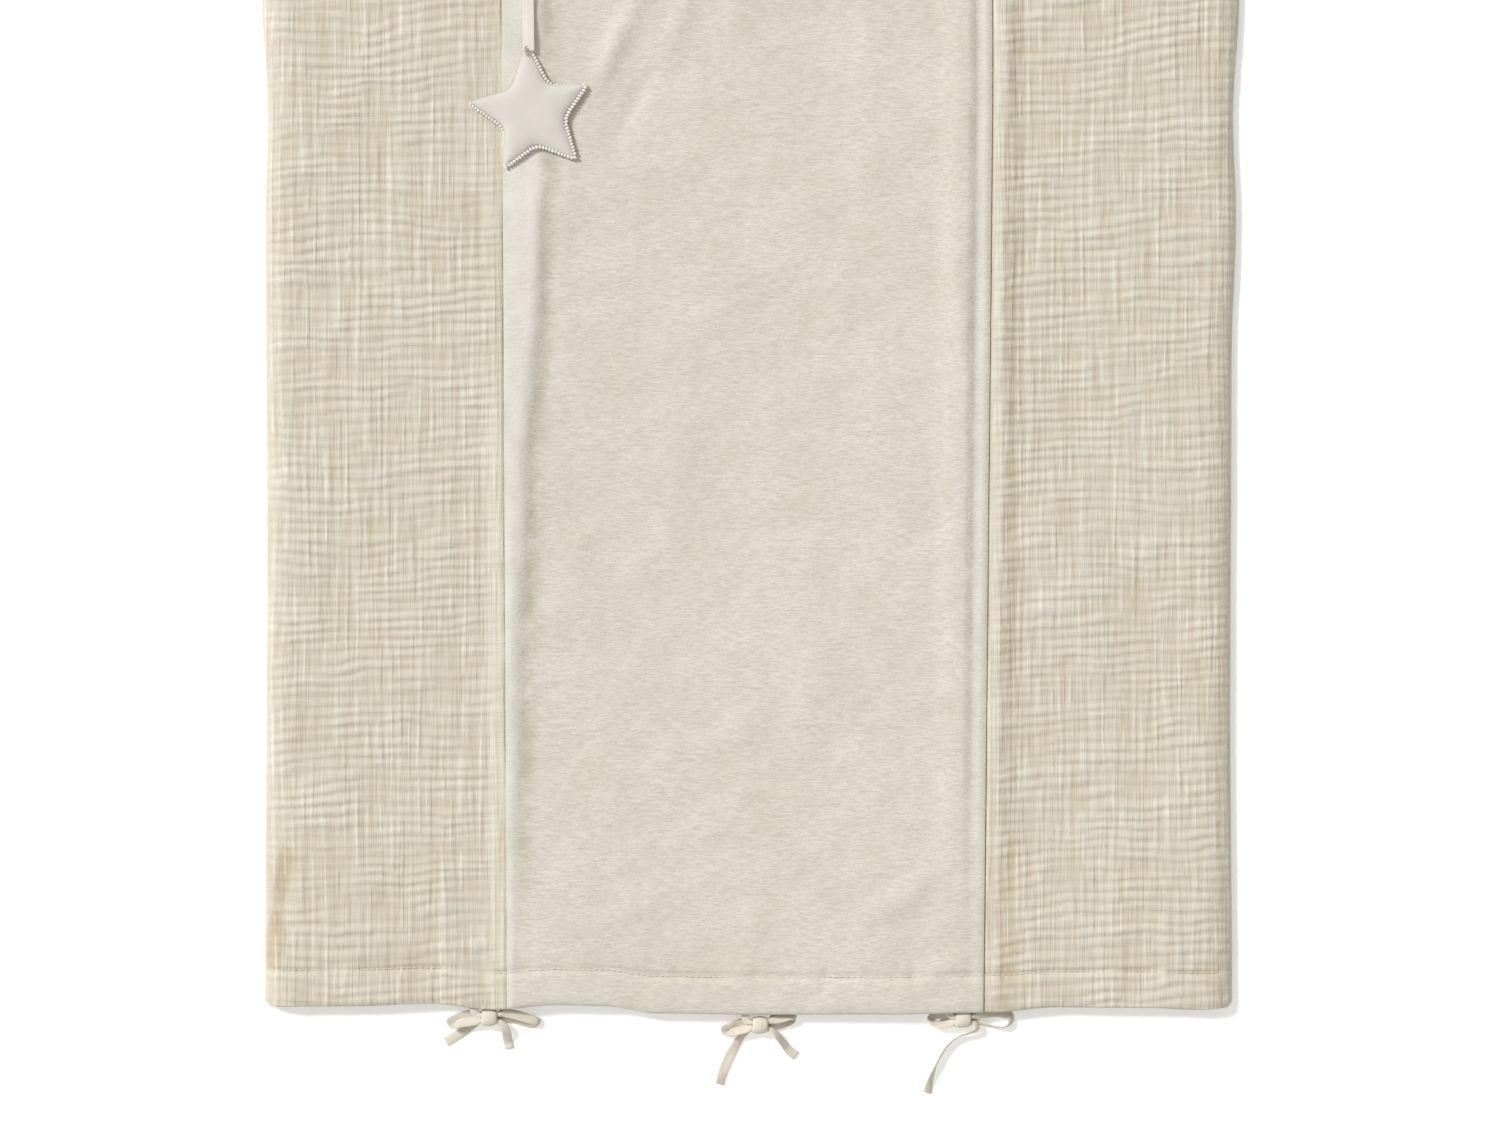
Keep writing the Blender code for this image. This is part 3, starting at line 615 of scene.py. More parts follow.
def welt_edge(y):
    """How far the welt on the terry reaches from the left seam."""
    return line_through(y, [(-350, 3), (-282, 4), (-182, 7), (-79, 11), (32, 19.5), (350, 21)])


def seam_relief(x, y):
    """The welts beside the two seams and the crease in each."""
    left = x - seam_place(y, "left")
    crest = welt_edge(y)
    height = line_through(y, [(-350, 0.4), (-282, 0.8), (-182, 2.0), (-79, 2.6), (32, 2.5), (350, 2.3)])
    fall = 9.5 * MM
    terry_welt = height * (1 - ease((left - crest + fall / 2) / fall)) * (left > 0)
    gauze_welt = 0.7 * MM * ease(-left / (1.5 * MM)) * (1 - ease((-left - 6 * MM) / (4 * MM)))
    right = x - seam_place(y, "right")
    strength = line_through(y, [(-350, 0.2), (-290, 0.35), (-200, 0.9), (60, 1.2), (350, 1.1)]) / MM
    ridge = 1.5 * MM * ease((right + 30 * MM) / (14 * MM)) * (1 - ease((right + 11.5 * MM) / (5 * MM)))
    strip = 0.7 * MM * hump(right + 3.4 * MM, 1.9 * MM)
    shelf = 1.7 * MM * ease(right / (1.5 * MM)) * (1 - ease((right - 6 * MM) / (10 * MM)))
    relief = terry_welt + gauze_welt + strength * (ridge + strip + shelf)
    for gap, depth in ((left, 0.05 * MM), (right, 0.35 * MM)):
        relief = relief - depth * np.exp(-np.abs(gap) / (0.8 * MM))
    return relief


def hem_line(x):
    """Where the line of hem stitches runs above the mouth."""
    return HEM_LINE - 1 * MM + 0.85 * line_through(x, MOUTH_SWAY)


def hem_relief(x, y):
    """The stitched line across the cover above the mouth and the puckers that it pulls."""
    down = hem_line(x) - y
    groove = -1.2 * MM * hump(down, 1.4 * MM)
    band = 0.45 * MM * ease(down / (3 * MM))
    pucker = 0.6 * MM * wander(x, y * 0, 4.5 * MM, 1, 31) * hump(down, 6 * MM)
    roll = -0.6 * MM * ease((down - 14 * MM) / (6 * MM))
    return groove + band + pucker + roll


ROW_PITCH = 5.5 * MM
RIB_PITCH = 5.6 * MM


def gauze_relief(x, y, seed):
    """Crinkled double gauze: wavy puffed rows, broken up by upright ribs."""
    drift = (4.0 * MM * wander(x, y, 62 * MM, 44 * MM, seed)
             + 1.5 * MM * wander(x, y, 19 * MM, 12 * MM, seed + 1)
             + 0.5 * MM * wander(x, y, 7 * MM, 6 * MM, seed + 8))
    rows = (y - 0.05 * x + drift) / ROW_PITCH
    puff = np.abs(np.sin(math.pi * rows)) ** 0.75
    strength = np.clip(0.68 + 0.5 * wander(x, y, 17 * MM, 8 * MM, seed + 2), 0.2, 1.2)
    columns = (x / RIB_PITCH + 0.9 * wander(x, y * 0, 9 * MM, 1, seed + 3)
               + 0.15 * wander(x, y, 8 * MM, 50 * MM, seed + 4))
    rib = np.abs(np.sin(math.pi * columns)) ** 0.6
    rib_strength = np.clip(0.55 + 0.6 * wander(x, y, 7 * MM, 30 * MM, seed + 5), 0, 1)
    loose = wander(x, y, 6 * MM, 4 * MM, seed + 7)
    return (1.15 * puff * strength + 0.5 * rib * rib_strength + 0.18 * loose - 0.7) * MM


def terry_relief(x, y, seed):
    """Short pile: soft lumps in loose rows."""
    lumps = wander(x, y, 6 * MM, 5 * MM, seed) * 0.14 + wander(x, y, 17 * MM, 13 * MM, seed + 1) * 0.42
    rows = wander(x, y, 14 * MM, 3.8 * MM, seed + 2) * 0.1
    return (lumps + rows) * MM


def slackness(x, y):
    """How freely the front wrinkles: little where the star lies and little near the top edge."""
    from_star = np.hypot(x - (RIBBON_X - 4 * MM), y - (STAR_TIP_Y - 33 * MM))
    return (1 - 0.85 * np.exp(-(from_star / (44 * MM)) ** 4)) * (1 - 0.95 * ease((y - 265 * MM) / (30 * MM)))


def front_height(x, y, top, rise=None):
    """Height of the front's upper side, before the cloth's own texture."""
    rise = edge_rise(x, y) if rise is None else rise
    base = EDGE_TOP + (top - EDGE_TOP) * rise
    slack = 0.8 * wander(x, y, 120 * MM, 95 * MM, 5) + 0.5 * wander(x + 0.5 * y, y, 40 * MM, 52 * MM, 6)
    free = slackness(x, y)
    return base + ((slack * MM + seam_relief(x, y) + wrinkled(x, y)) * free + hem_relief(x, y)) * rise


def between(t, start, stop, soft):
    """1 from start to stop, fading to 0 over the soft distance beyond them."""
    return ease((t - start + soft) / soft) * (1 - ease((t - stop) / soft))


def edge_crease_shade(x, y):
    """Painted shade in a crease that leans along the left edge above the mouth."""
    from_crease = x + 243 * MM - 0.13 * (y + 300 * MM)
    return 1.7 * hump(from_crease, 3.6 * MM) * between(y, -322 * MM, -276 * MM, 12 * MM)


def painted_shade_and_highlight(x, y):
    """How far painted shade darkens the colour in the hollows and on the slopes beside the seams, or,
    below 0, how far painted highlight pales it on the raised strips along them."""
    left, right = x - seam_place(y, "left"), x - seam_place(y, "right")
    crest = welt_edge(y)
    lower = ease((-10 * MM - y) / (70 * MM))
    patchy = 1 + 0.9 * wander(x, y, 4 * MM, 7 * MM, 77)
    # Painted shade: the slopes and hollows beside the seams that face away from the light
    deep = 0.36 * between(right, 8.5 * MM, 15.5 * MM, 3 * MM) * ease((250 * MM - y) / (120 * MM))
    deep += 0.42 * hump(left - crest - 5 * MM, 4.5 * MM) * ease((y + 330 * MM) / (90 * MM))
    deep += 0.25 * hump(right + 10 * MM, 2.4 * MM) * ease((y + 300 * MM) / (90 * MM)) + edge_crease_shade(x, y)
    # Painted shade in the crease of the right seam
    seam_crease_shade = 0.9 * np.exp(-np.abs(right - 0.5 * MM) / (0.9 * MM)) * ease((230 * MM - y) / (60 * MM))
    above_hem = ease((y + 330 * MM) / (120 * MM))
    upper = ease((y + 290 * MM) / (90 * MM))
    # Painted highlight on the raised welt and strips beside the seams, which face the light
    pale = 0.45 * between(left, 0.3 * MM, crest - 1 * MM, 2 * MM)
    pale = pale + 0.3 * hump(left - 1.8 * MM, 1.3 * MM) * lower
    pale = pale + 0.4 * between(left, -8 * MM, -0.5 * MM, 1 * MM) * lower * (0.4 + 0.6 * above_hem)
    pale = pale + (0.3 * between(right, -7.5 * MM, -1.6 * MM, 2 * MM)
                   + 0.4 * between(right, 1.5 * MM, 6 * MM, 2 * MM)) * (0.3 + 0.7 * upper)
    return deep * patchy + seam_crease_shade - pale * (1 + 0.5 * wander(x, y, 5 * MM, 9 * MM, 78))


def panel_columns(low, high, step, seam_low, seam_high):
    """Stations across a panel with, for a seam side, closer ones that end in a turned-down edge.

    Gives the stations and how far each hangs below the surface."""
    near_seam = np.array([0, 0.25, 0.6, 1.2, 2.1]) * MM + SEAM_CLEARANCE
    near_edge = np.array([0, 0.35, 1.0]) * MM
    turned = [2.6 * MM, 1.3 * MM]
    start = low + (near_seam if seam_low else near_edge)
    stop = high - (near_seam if seam_high else near_edge)[::-1]
    count = round((stop[0] - start[-1]) / step)
    inner = np.linspace(start[-1], stop[0], count + 1)[1:-1]
    stations = np.concatenate([start, inner, stop])
    hang = np.zeros(len(stations))
    if seam_low:
        stations = np.concatenate([[stations[0]] * 2, stations])
        hang = np.concatenate([turned, hang])
    if seam_high:
        stations = np.concatenate([stations, [stations[-1]] * 2])
        hang = np.concatenate([hang, turned[::-1]])
    return stations, hang


def panel_rows(step, fold):
    """Stations along a panel from the end of the turned-in hem, round the mouth's fold, to the top.

    Gives the stations, how far each lies below the upper side, and the share of texture there."""
    inner = np.arange(HEM_DEPTH - 1.5 * MM, fold * 1.2, -step)
    bend = np.linspace(math.pi, 0, 8)
    upper = np.linspace(fold, TOP_Y - MOUTH_Y - 0.7 * MM, round((TOP_Y - MOUTH_Y) / step))
    stations = np.concatenate([inner, fold - fold * np.sin(bend), upper[1:], [TOP_Y - MOUTH_Y]])
    below = np.concatenate([inner * 0 + 2 * fold, fold - fold * np.cos(bend), upper[1:] * 0, [0]])
    share = np.concatenate([inner * 0 + 0.3, 0.3 + 0.7 * (bend[::-1] / math.pi), upper[1:] * 0 + 1, [0.5]])
    return MOUTH_Y + stations, below, share


PanelCloth = collections.namedtuple(
    "PanelCloth", "slot, step_across, step_along, thickness, top, fold, relief")
GAUZE = PanelCloth("gauze", 1.9 * MM, 1.02 * MM, GAUZE_CLOTH, GAUZE_TOP, 1.35 * MM, gauze_relief)
TERRY = PanelCloth("terry", 2.2 * MM, 1.9 * MM, TERRY_CLOTH, TERRY_TOP, 1.8 * MM, terry_relief)


def front_panel(name, low, high, cloth, seams, seed, finish):
    """A panel from low to high across the cover, with a hem turned in at the mouth; seams says which
    of its two sides is sewn to another panel."""
    columns, hang = panel_columns(low, high, cloth.step_across, *seams)
    rows, below, share = panel_rows(cloth.step_along, cloth.fold)
    x, y = np.meshgrid(columns, rows)
    flat_x, flat_y = round_corner(x, y)
    flat_x, flat_y = sway(flat_x, flat_y)
    rise = edge_rise(x, y)
    soft = 0.25 + 0.75 * rise
    calm_width = (3.5 + 5 * ease((-10 * MM - flat_y) / (70 * MM))) * MM
    seam_calm = 1 - 0.85 * np.exp(-np.abs((flat_x - seam_place(flat_y, "left")) / calm_width) ** 3)
    seam_calm *= 1 - 0.75 * np.exp(-np.abs((flat_x - seam_place(flat_y, "right")) / (6.5 * MM)) ** 3)
    soft = soft * (0.35 + 0.65 * slackness(flat_x, flat_y))
    detail = cloth.relief(flat_x, flat_y, seed) * share[:, None] * soft * seam_calm
    z = front_height(flat_x, flat_y, cloth.top, rise) + detail - below[:, None] - hang[None, :]
    piece = grid_mesh(name + "_cloth", np.stack([flat_x, flat_y, np.maximum(z, 1.9 * MM)], -1))
    store(piece, "crinkle", (detail - detail.min()) / max(float(np.ptp(detail)), 1e-9))
    # Painted shade and painted highlight beside the seams, kept for the finishes
    store(piece, "shade_and_highlight", painted_shade_and_highlight(flat_x, flat_y))
    face_up(piece)
    thicken(piece, cloth.thickness)
    dress(piece, finish, "cover", [name + "_panel"])


def back_cloth(finish):
    """The whole back in gauze, lying flat under the front, with its hem turned up at the mouth."""
    columns = np.concatenate([[-SIDE_X], np.linspace(-SIDE_X + 1 * MM, SIDE_X - 1 * MM, 147), [SIDE_X]])
    rows, below, _ = panel_rows(3.4 * MM, 0.85 * MM)
    x, y = np.meshgrid(columns, rows)
    flat_x, flat_y = round_corner(x, y)
    flat_x, flat_y = sway(flat_x, flat_y)
    inset = 0.7 * MM
    flat_x, flat_y = flat_x * (1 - inset / SIDE_X), flat_y + inset * (flat_y < 0)
    under = 0.06 * MM + below[:, None] + 0 * x
    piece = grid_mesh("back_cloth", np.stack([flat_x, flat_y, under], -1))
    face_up(piece, up=False)
    store(piece, "crinkle", np.full(x.size, 0.6))
    thicken(piece, GAUZE_CLOTH * 0.9)
    dress(piece, finish, "cover", ["back_panel"])


# ---------------------------------------------------------------- stitching

def stitch_run(name, places, headings, length, thickness, finish, node, body="cover"):
    """A row of short stitches, each a small capsule at its place and heading, as one piece."""
    around, shares = 6, [(-0.5, 0.25), (-0.36, 0.85), (0, 1), (0.36, 0.85), (0.5, 0.25)]
    angles = np.linspace(0, 2 * math.pi, around, endpoint=False)
    points, faces = [], []
    for place, heading in zip(places, headings):
        ahead = np.array(heading) / np.linalg.norm(heading)
        side = np.cross(ahead, (0, 0, 1.0))
        side /= max(np.linalg.norm(side), 1e-9)
        lift = np.cross(side, ahead)
        base = len(points)
        for reach, girth in shares:
            centre = place + ahead * reach * length
            for a in angles:
                points.append(centre + (side * math.cos(a) + lift * math.sin(a)) * girth * thickness / 2)
        for ring in range(len(shares) - 1):
            for k in range(around):
                a, b = base + ring * around + k, base + ring * around + (k + 1) % around
                faces.append((a, b, b + around, a + around))
        faces.append(tuple(base + k for k in reversed(range(around))))
        last = base + (len(shares) - 1) * around
        faces.append(tuple(last + k for k in range(around)))
    piece = new_piece(name, [tuple(p) for p in points], faces)
    face_outwards(piece)
    dress(piece, finish, body, [node])


def surface_at(x, y):
    """Height of the front's upper side where a stitch lies."""
    left, right = seam_place(y, "left"), seam_place(y, "right")
    top = np.where((x > left) & (x < right), TERRY_TOP, GAUZE_TOP)
    return front_height(x, y, top)


def hem_stitches(finish):
    """The line of stitches across the front's hem, and the one across the back's."""
    x = np.arange(-SIDE_X + 9 * MM, SIDE_X - 9 * MM, 3.1 * MM)
    y = hem_line(x)
    wobble = 0.12 * MM * wander(x, x * 0, 2 * MM, 1, 41)
    z = surface_at(x, y) + 0.28 * MM
    places = np.stack([x, y + wobble, z], 1)
    stitch_run("front_hem_stitches", places, np.gradient(places, axis=0), 2.5 * MM, 0.5 * MM, finish,
               "front_hem_thread")
    places = np.stack([x, x * 0 + HEM_LINE - 2 * MM, x * 0 + 2.65 * MM], 1)
    stitch_run("back_hem_stitches", places, [(1, 0, 0)] * len(x), 2.5 * MM, 0.45 * MM, finish,
               "back_hem_thread")


def seam_stitches(finish):
    """Stitches across the turned-down edges of each seam, just under its crease."""
    y = np.arange(MOUTH_Y + 4 * MM, TOP_Y - 4 * MM, 3 * MM)
    for side, seam, below in (("left", LEFT_SEAM, 0.5 * MM), ("right", RIGHT_SEAM, 0.8 * MM)):
        x, _ = sway(np.full_like(y, seam), y)
        places = np.stack([x, y, surface_at(x, y) - below], 1)
        stitch_run(side + "_seam_stitches", places, [(0.5, 1, 0)] * len(y), 2.2 * MM, 0.4 * MM, finish,
                   side + "_seam_thread")


def closing_stitches(finish):
    """The hidden seam that joins front and back down both sides and across the top."""
    low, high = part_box("closing_seam_thread")
    corners = np.array([(low.x, low.y), (low.x, high.y), (high.x, high.y), (high.x, low.y)])
    line, _ = even_steps(np.column_stack([corners, np.full(4, (low.z + high.z) / 2)]), 3.4 * MM)
    stitch_run("closing_seam_stitches", line, np.gradient(line, axis=0), 2.6 * MM, 0.6 * MM, finish,
               "closing_seam_thread")


# ---------------------------------------------------------------- ribbon

RIBBON_LOW, RIBBON_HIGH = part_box("pendant_ribbon")
FOLD_LOW, FOLD_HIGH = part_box("ribbon_fold")
SEWN_LOW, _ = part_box("ribbon_sewn_end")
RIBBON_X = (RIBBON_LOW.x + RIBBON_HIGH.x) / 2
HINGE_Y = FOLD_HIGH.y
STRAND_WIDTH = 4.3 * MM
STRAND_CLOTH = 0.4 * MM


def ribbon_line(y):
    """Height of the ribbon's underside: on the terry, then up to the star's tip."""
    tip = RIBBON_LOW.y
    climb = ease((tip + 22 * MM - y) / (20 * MM))
    lying = surface_at(np.full_like(y, RIBBON_X), y) + 0.45 * MM
    return lying * (1 - climb) + (STAR_RIM + 0.4 * MM) * climb


def ribbon_strand(name, start_y, stop_y, shift, raised, finish, nodes):
    """One flat strand with soft thicker edges and a faint sideways wave along it."""
    y = np.arange(start_y, stop_y, -1.2 * MM)
    across = np.array([-0.5, -0.46, -0.40, -0.2, 0, 0.2, 0.40, 0.46, 0.5])
    edge = np.array([0, 0.75, 1, 0.8, 0.8, 0.8, 1, 0.75, 0])
    wave = 0.25 * MM * np.sin(y / (17 * MM) + shift * 900)
    settle = ease((y - HINGE_Y + 40 * MM) / (20 * MM)) * (y < HINGE_Y + 1 * MM)
    z = (ribbon_line(y) + raised) * (1 - settle) + (FOLD_LOW.z + 0.7 * raised) * settle
    centre = RIBBON_X + shift + wave
    top = np.stack([centre[:, None] + across[None] * STRAND_WIDTH, np.repeat(y[:, None], 9, 1),
                    z[:, None] + STRAND_CLOTH / 2 * (1 + edge[None])], -1)
    under = top[:, 1:-1][:, ::-1].copy()
    under[:, :, 2] = z[:, None]
    piece = grid_mesh(name, np.concatenate([top, under], 1), closed=True)
    close_ends(piece, len(across) + under.shape[1], len(y))
    face_outwards(piece)
    cover_with(piece, finish, nodes)
    return piece


def hang_the_ribbon(finish):
    """Two strands, each a sewn end on the cover and a length from the fold down onto the star's top tip."""
    tip = RIBBON_LOW.y - 6 * MM
    strands = (("under_strand", -0.95 * MM, 0, ["ribbon_fold", "pendant_ribbon"], ["ribbon_sewn_end"]),
               ("upper_strand", 0.95 * MM, 1.25 * STRAND_CLOTH, [], []))
    for name, shift, raised, hanging_nodes, sewn_nodes in strands:
        hanging = ribbon_strand(name, FOLD_HIGH.y, tip, shift, raised, finish, hanging_nodes)
        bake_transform(hanging)
        sewn = ribbon_strand(name + "_sewn_end", TOP_Y - 0.6 * MM, SEWN_LOW.y, shift, raised, finish,
                             sewn_nodes)
        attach(sewn, "cover")


# ---------------------------------------------------------------- star

STAR_LOW, STAR_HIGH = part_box("star_edging")
STAR_RIM = (STAR_LOW.z + STAR_HIGH.z) / 2 - 0.8 * MM
STAR_INNER = 18.2 * MM
STAR_TIP_Y = TOP_Y - 205 * MM
STAR_CENTRE = np.array([RIBBON_X + 1.6 * MM, STAR_TIP_Y - 33.5 * MM])
# The tips as heading in degrees and radius in millimetres: the sewn star isn't quite even
STAR_TIPS = [(94.6, 38.2), (170.5, 35.6), (243.4, 34.0), (313.1, 34.6), (386.6, 33.4)]
STAR_LOFT = {1: 2.1 * MM, -1: 0.8 * MM}     # front and back
STAR_CLOTH_REACH = -2.2 * MM
STAR_BEAD_REACH = -1.3 * MM


def star_outline(reach, per_side):
    """Points round the star, with soft tips and hollows."""
    corners = []
    for (heading, radius), (following, _) in zip(STAR_TIPS, STAR_TIPS[1:] + [(STAR_TIPS[0][0] + 360, 0)]):
        for angle, out in ((heading, radius * MM), ((heading + following) / 2, STAR_INNER)):
            angle = math.radians(angle)
            corners.append(np.array([math.cos(angle), math.sin(angle)]) * (out + reach))
    points = []
    for k, corner in enumerate(corners):
        before, after = corners[k - 1], corners[(k + 1) % 10]
        cut = 0.13 if k % 2 == 0 else 0.22
        start, stop = corner + (before - corner) * cut, corner + (after - corner) * cut
        next_cut = 0.22 if k % 2 == 0 else 0.13
        side_end = after + (corner - after) * next_cut
        for t in np.linspace(0, 1, 6, endpoint=False):
            points.append((1 - t) ** 2 * start + 2 * t * (1 - t) * corner + t ** 2 * stop)
        for t in np.linspace(0, 1, per_side, endpoint=False):
            points.append(stop * (1 - t) + side_end * t)
    return np.array(points)


def star_rings(reach, side, loft):
    """Rings of points from the star's rim in to its crown, over a flat-topped cushion with soft folds."""
    outline = star_outline(reach, 9)
    rings = []
    for share in (1, 0.985, 0.96, 0.92, 0.86, 0.78, 0.68, 0.56, 0.43, 0.3, 0.17, 0.06):
        flat = outline * share
        cushion = (1 - share ** 6) ** 0.8
        folds = 0.16 * wander(flat[:, 0] + flat[:, 1] * 0.5, flat[:, 1], 15 * MM, 11 * MM, 61)
        folds += 0.05 * wander(flat[:, 0], flat[:, 1], 5 * MM, 4 * MM, 62)
        far = np.linalg.norm(flat, axis=1) / (35 * MM)
        height = loft * cushion * (0.95 - 0.3 * far ** 2 + folds)
        rings.append(np.column_stack([flat + STAR_CENTRE, STAR_RIM + side * height]))
    rings.append(np.repeat(rings[-1].mean(0)[None], len(outline), 0))
    return np.array(rings)


def star_cloth(name, side, finish, node):
    """One padded face of the star, with a darker line along the edges that face the light."""
    rings = star_rings(STAR_CLOTH_REACH, side, STAR_LOFT[side])
    rings[:, :, 2] += side * 0.35 * MM
    piece = grid_mesh(name, rings, closed=True)
    weld(piece)
    if (piece.data.polygons[0].normal.z < 0) == (side > 0):
        piece.data.flip_normals()
    thicken(piece, 0.5 * MM)
    spot = points_of(piece)[:, :2] - STAR_CENTRE
    rim = star_outline(STAR_CLOTH_REACH, 9)
    gap = np.sqrt(((spot[:, None] - rim[None]) ** 2).sum(-1)).min(1)
    toward_light = ease((spot[:, 1] - spot[:, 0]) / (30 * MM) + 0.6)
    store(piece, "rim", hump(gap, 0.75 * MM) * toward_light)
    dress(piece, finish, "star", [node])


def star_wadding(finish):
    """The filling between the two faces."""
    front = star_rings(STAR_CLOTH_REACH - 2.2 * MM, 1, 0.5 * STAR_LOFT[1])
    back = star_rings(STAR_CLOTH_REACH - 2.2 * MM, -1, 0.2 * STAR_LOFT[-1])
    piece = grid_mesh("star_wadding", np.concatenate([front[::-1], back[1:]]), closed=True)
    weld(piece)
    face_outwards(piece)
    dress(piece, finish, "star", ["star_filling"])


def star_edge_stitches(finish):
    """Close whipped stitches round the rim."""
    rim = star_outline(STAR_BEAD_REACH, 12)
    outline, _ = even_steps(np.column_stack([np.vstack([rim, rim[:1]]), np.zeros(len(rim) + 1)]), 1.72 * MM)
    outline = outline[:-1, :2]
    ahead = np.roll(outline, -1, 0) - np.roll(outline, 1, 0)
    out = np.column_stack([ahead[:, 1], -ahead[:, 0]])
    out /= np.linalg.norm(out, axis=1)[:, None]
    places, headings = [], []
    for k, (spot, outward, forward) in enumerate(zip(outline, out, ahead)):
        forward = forward / np.linalg.norm(forward)
        shown = 0.75 * outward[0] - 0.6 * outward[1]     # most on the edges away from the light
        nudge = (0.1 * math.sin(k * 2.4) + (0.6 if shown > 0 else 1.6) * shown - 0.35) * MM
        places.append(np.array([*(STAR_CENTRE + spot + outward * nudge), STAR_RIM - 0.3 * (1 - shown) * MM]))
        lean = outward + 0.35 * forward
        headings.append((lean[0], lean[1], 0.05))
    stitch_run("star_edging_stitches", places, headings, 2.2 * MM, 1.6 * MM, finish, "star_edging", "star")


def star_tack(finish):
    """The few crossed stitches that hold the ribbon to the star's top tip."""
    tip = star_outline(STAR_CLOTH_REACH, 9)[3] + STAR_CENTRE
    inward = (STAR_CENTRE - tip) / np.linalg.norm(STAR_CENTRE - tip)
    sideways = np.array([-inward[1], inward[0]])
    places, headings = [], []
    for k in range(6):
        spot = tip + inward * (0.9 + 0.85 * k) * MM + sideways * (0.25 if k % 2 else -0.25) * MM
        places.append(np.array([*spot, STAR_RIM + (1.3 + 0.24 * k) * MM]))
        heading = sideways + inward * (0.5 if k % 2 else -0.5)
        headings.append((heading[0], heading[1], 0))
    stitch_run("star_tack_stitches", places, headings, 2.4 * MM, 0.55 * MM, finish, "star_tack", "star")


# ---------------------------------------------------------------- finishes

def feed(tree, socket, value):
    """Joins a socket to another node's output, or sets its plain value."""
    if isinstance(value, bpy.types.NodeSocket):
        tree.links.new(value, socket)
    else:
        socket.default_value = value


def feed_all(tree, node, values):
    for name, value in values.items():
        feed(tree, node.inputs[name], value)
    return node


def add_node(tree, kind, inputs=None, **settings):
    node = tree.nodes.new("ShaderNode" + kind)
    for name, value in settings.items():
        setattr(node, name, value)
    return feed_all(tree, node, inputs or {})


def math_node(tree, operation, a, b=0.0):
    node = add_node(tree, "Math", operation=operation)
    for socket, value in zip(node.inputs, (a, b)):
        feed(tree, socket, value)
    return node.outputs[0]


def mixed(tree, factor, a, b):
    """Colour a turning into colour b by the factor."""
    values = {"Factor": factor, "A": a, "B": b}
    return add_node(tree, "Mix", data_type="RGBA", inputs=values).outputs["Result"]


def spread(tree, value, low, high, to_low=0.0, to_high=1.0):
    """The value moved from the first range to the second, and kept inside it."""
    ranges = {"Value": value, "From Min": low, "From Max": high, "To Min": to_low, "To Max": to_high}
    return add_node(tree, "MapRange", inputs=ranges).outputs[0]


def stretched_noise(tree, place, across, along, detail=2.0):
    """Noise with features of the given sizes in metres across and along."""
    scaled = add_node(tree, "Mapping", inputs={"Vector": place, "Scale": (1 / across, 1 / along, 1 / along)})
    values = {"Vector": scaled.outputs[0], "Scale": 1.0, "Detail": detail, "Roughness": 0.55}
    return add_node(tree, "TexNoise", inputs=values).outputs["Fac"]


def new_group(name, inputs, outputs):
    """A node group with named sockets, given as (name, kind) or (name, kind, default)."""
    group = bpy.data.node_groups.new(name, "ShaderNodeTree")
    for label, kind, *default in inputs:
        socket = group.interface.new_socket(label, in_out="INPUT", socket_type="NodeSocket" + kind)
        if default:
            socket.default_value = default[0]
    for label, kind in outputs:
        group.interface.new_socket(label, in_out="OUTPUT", socket_type="NodeSocket" + kind)
    return group, group.nodes.new("NodeGroupInput").outputs, group.nodes.new("NodeGroupOutput").inputs


class Recipe:
    """A small helper for wiring one material. Colours are given as (red, green, blue)."""

    def __init__(self, name):
        self.material = bpy.data.materials.new(name)
        self.material.use_nodes = True
        self.tree = self.material.node_tree
        self.shader = self.tree.nodes["Principled BSDF"]
        self.place = self.tree.nodes.new("ShaderNodeTexCoord").outputs["Object"]

    def add(self, kind, **settings):
        return add_node(self.tree, kind, **settings)

    def group(self, group, **inputs):
        node = self.tree.nodes.new("ShaderNodeGroup")
        node.node_tree = group
        return feed_all(self.tree, node, inputs)

    def tinted(self, mottle, base, warm, cool, size, amount, place=None):
        """The base colour with soft clouds of a warmer and a cooler one."""
        return self.group(mottle, Place=place or self.place, Base=(*base, 1), Warm=(*warm, 1),
                          Cool=(*cool, 1), Size=size, Amount=amount).outputs["Colour"]

    def math(self, operation, a, b=0.0):
        return math_node(self.tree, operation, a, b)

    def mix(self, factor, a, colour):
        return mixed(self.tree, factor, a, (*colour, 1))

    def spread(self, *values):
        return spread(self.tree, *values)

    def noise(self, *sizes):
        return stretched_noise(self.tree, self.place, *sizes)

    def stored(self, name):
        """The value that the piece keeps for each point under this name."""
        return self.add("Attribute", attribute_name=name).outputs["Fac"]

    def finish(self, colour, height, strength, distance, roughness, sheen):
        """Joins the colour and the height to a soft cloth shader and gives the material."""
        relief = self.add("Bump", inputs={"Height": height, "Strength": strength, "Distance": distance})
        values = {"Base Color": colour, "Normal": relief.outputs["Normal"], "Roughness": roughness,
                  "Specular IOR Level": 0.15, "Sheen Weight": sheen, "Sheen Roughness": 0.6}
        feed_all(self.tree, self.shader, values)
        return self.material


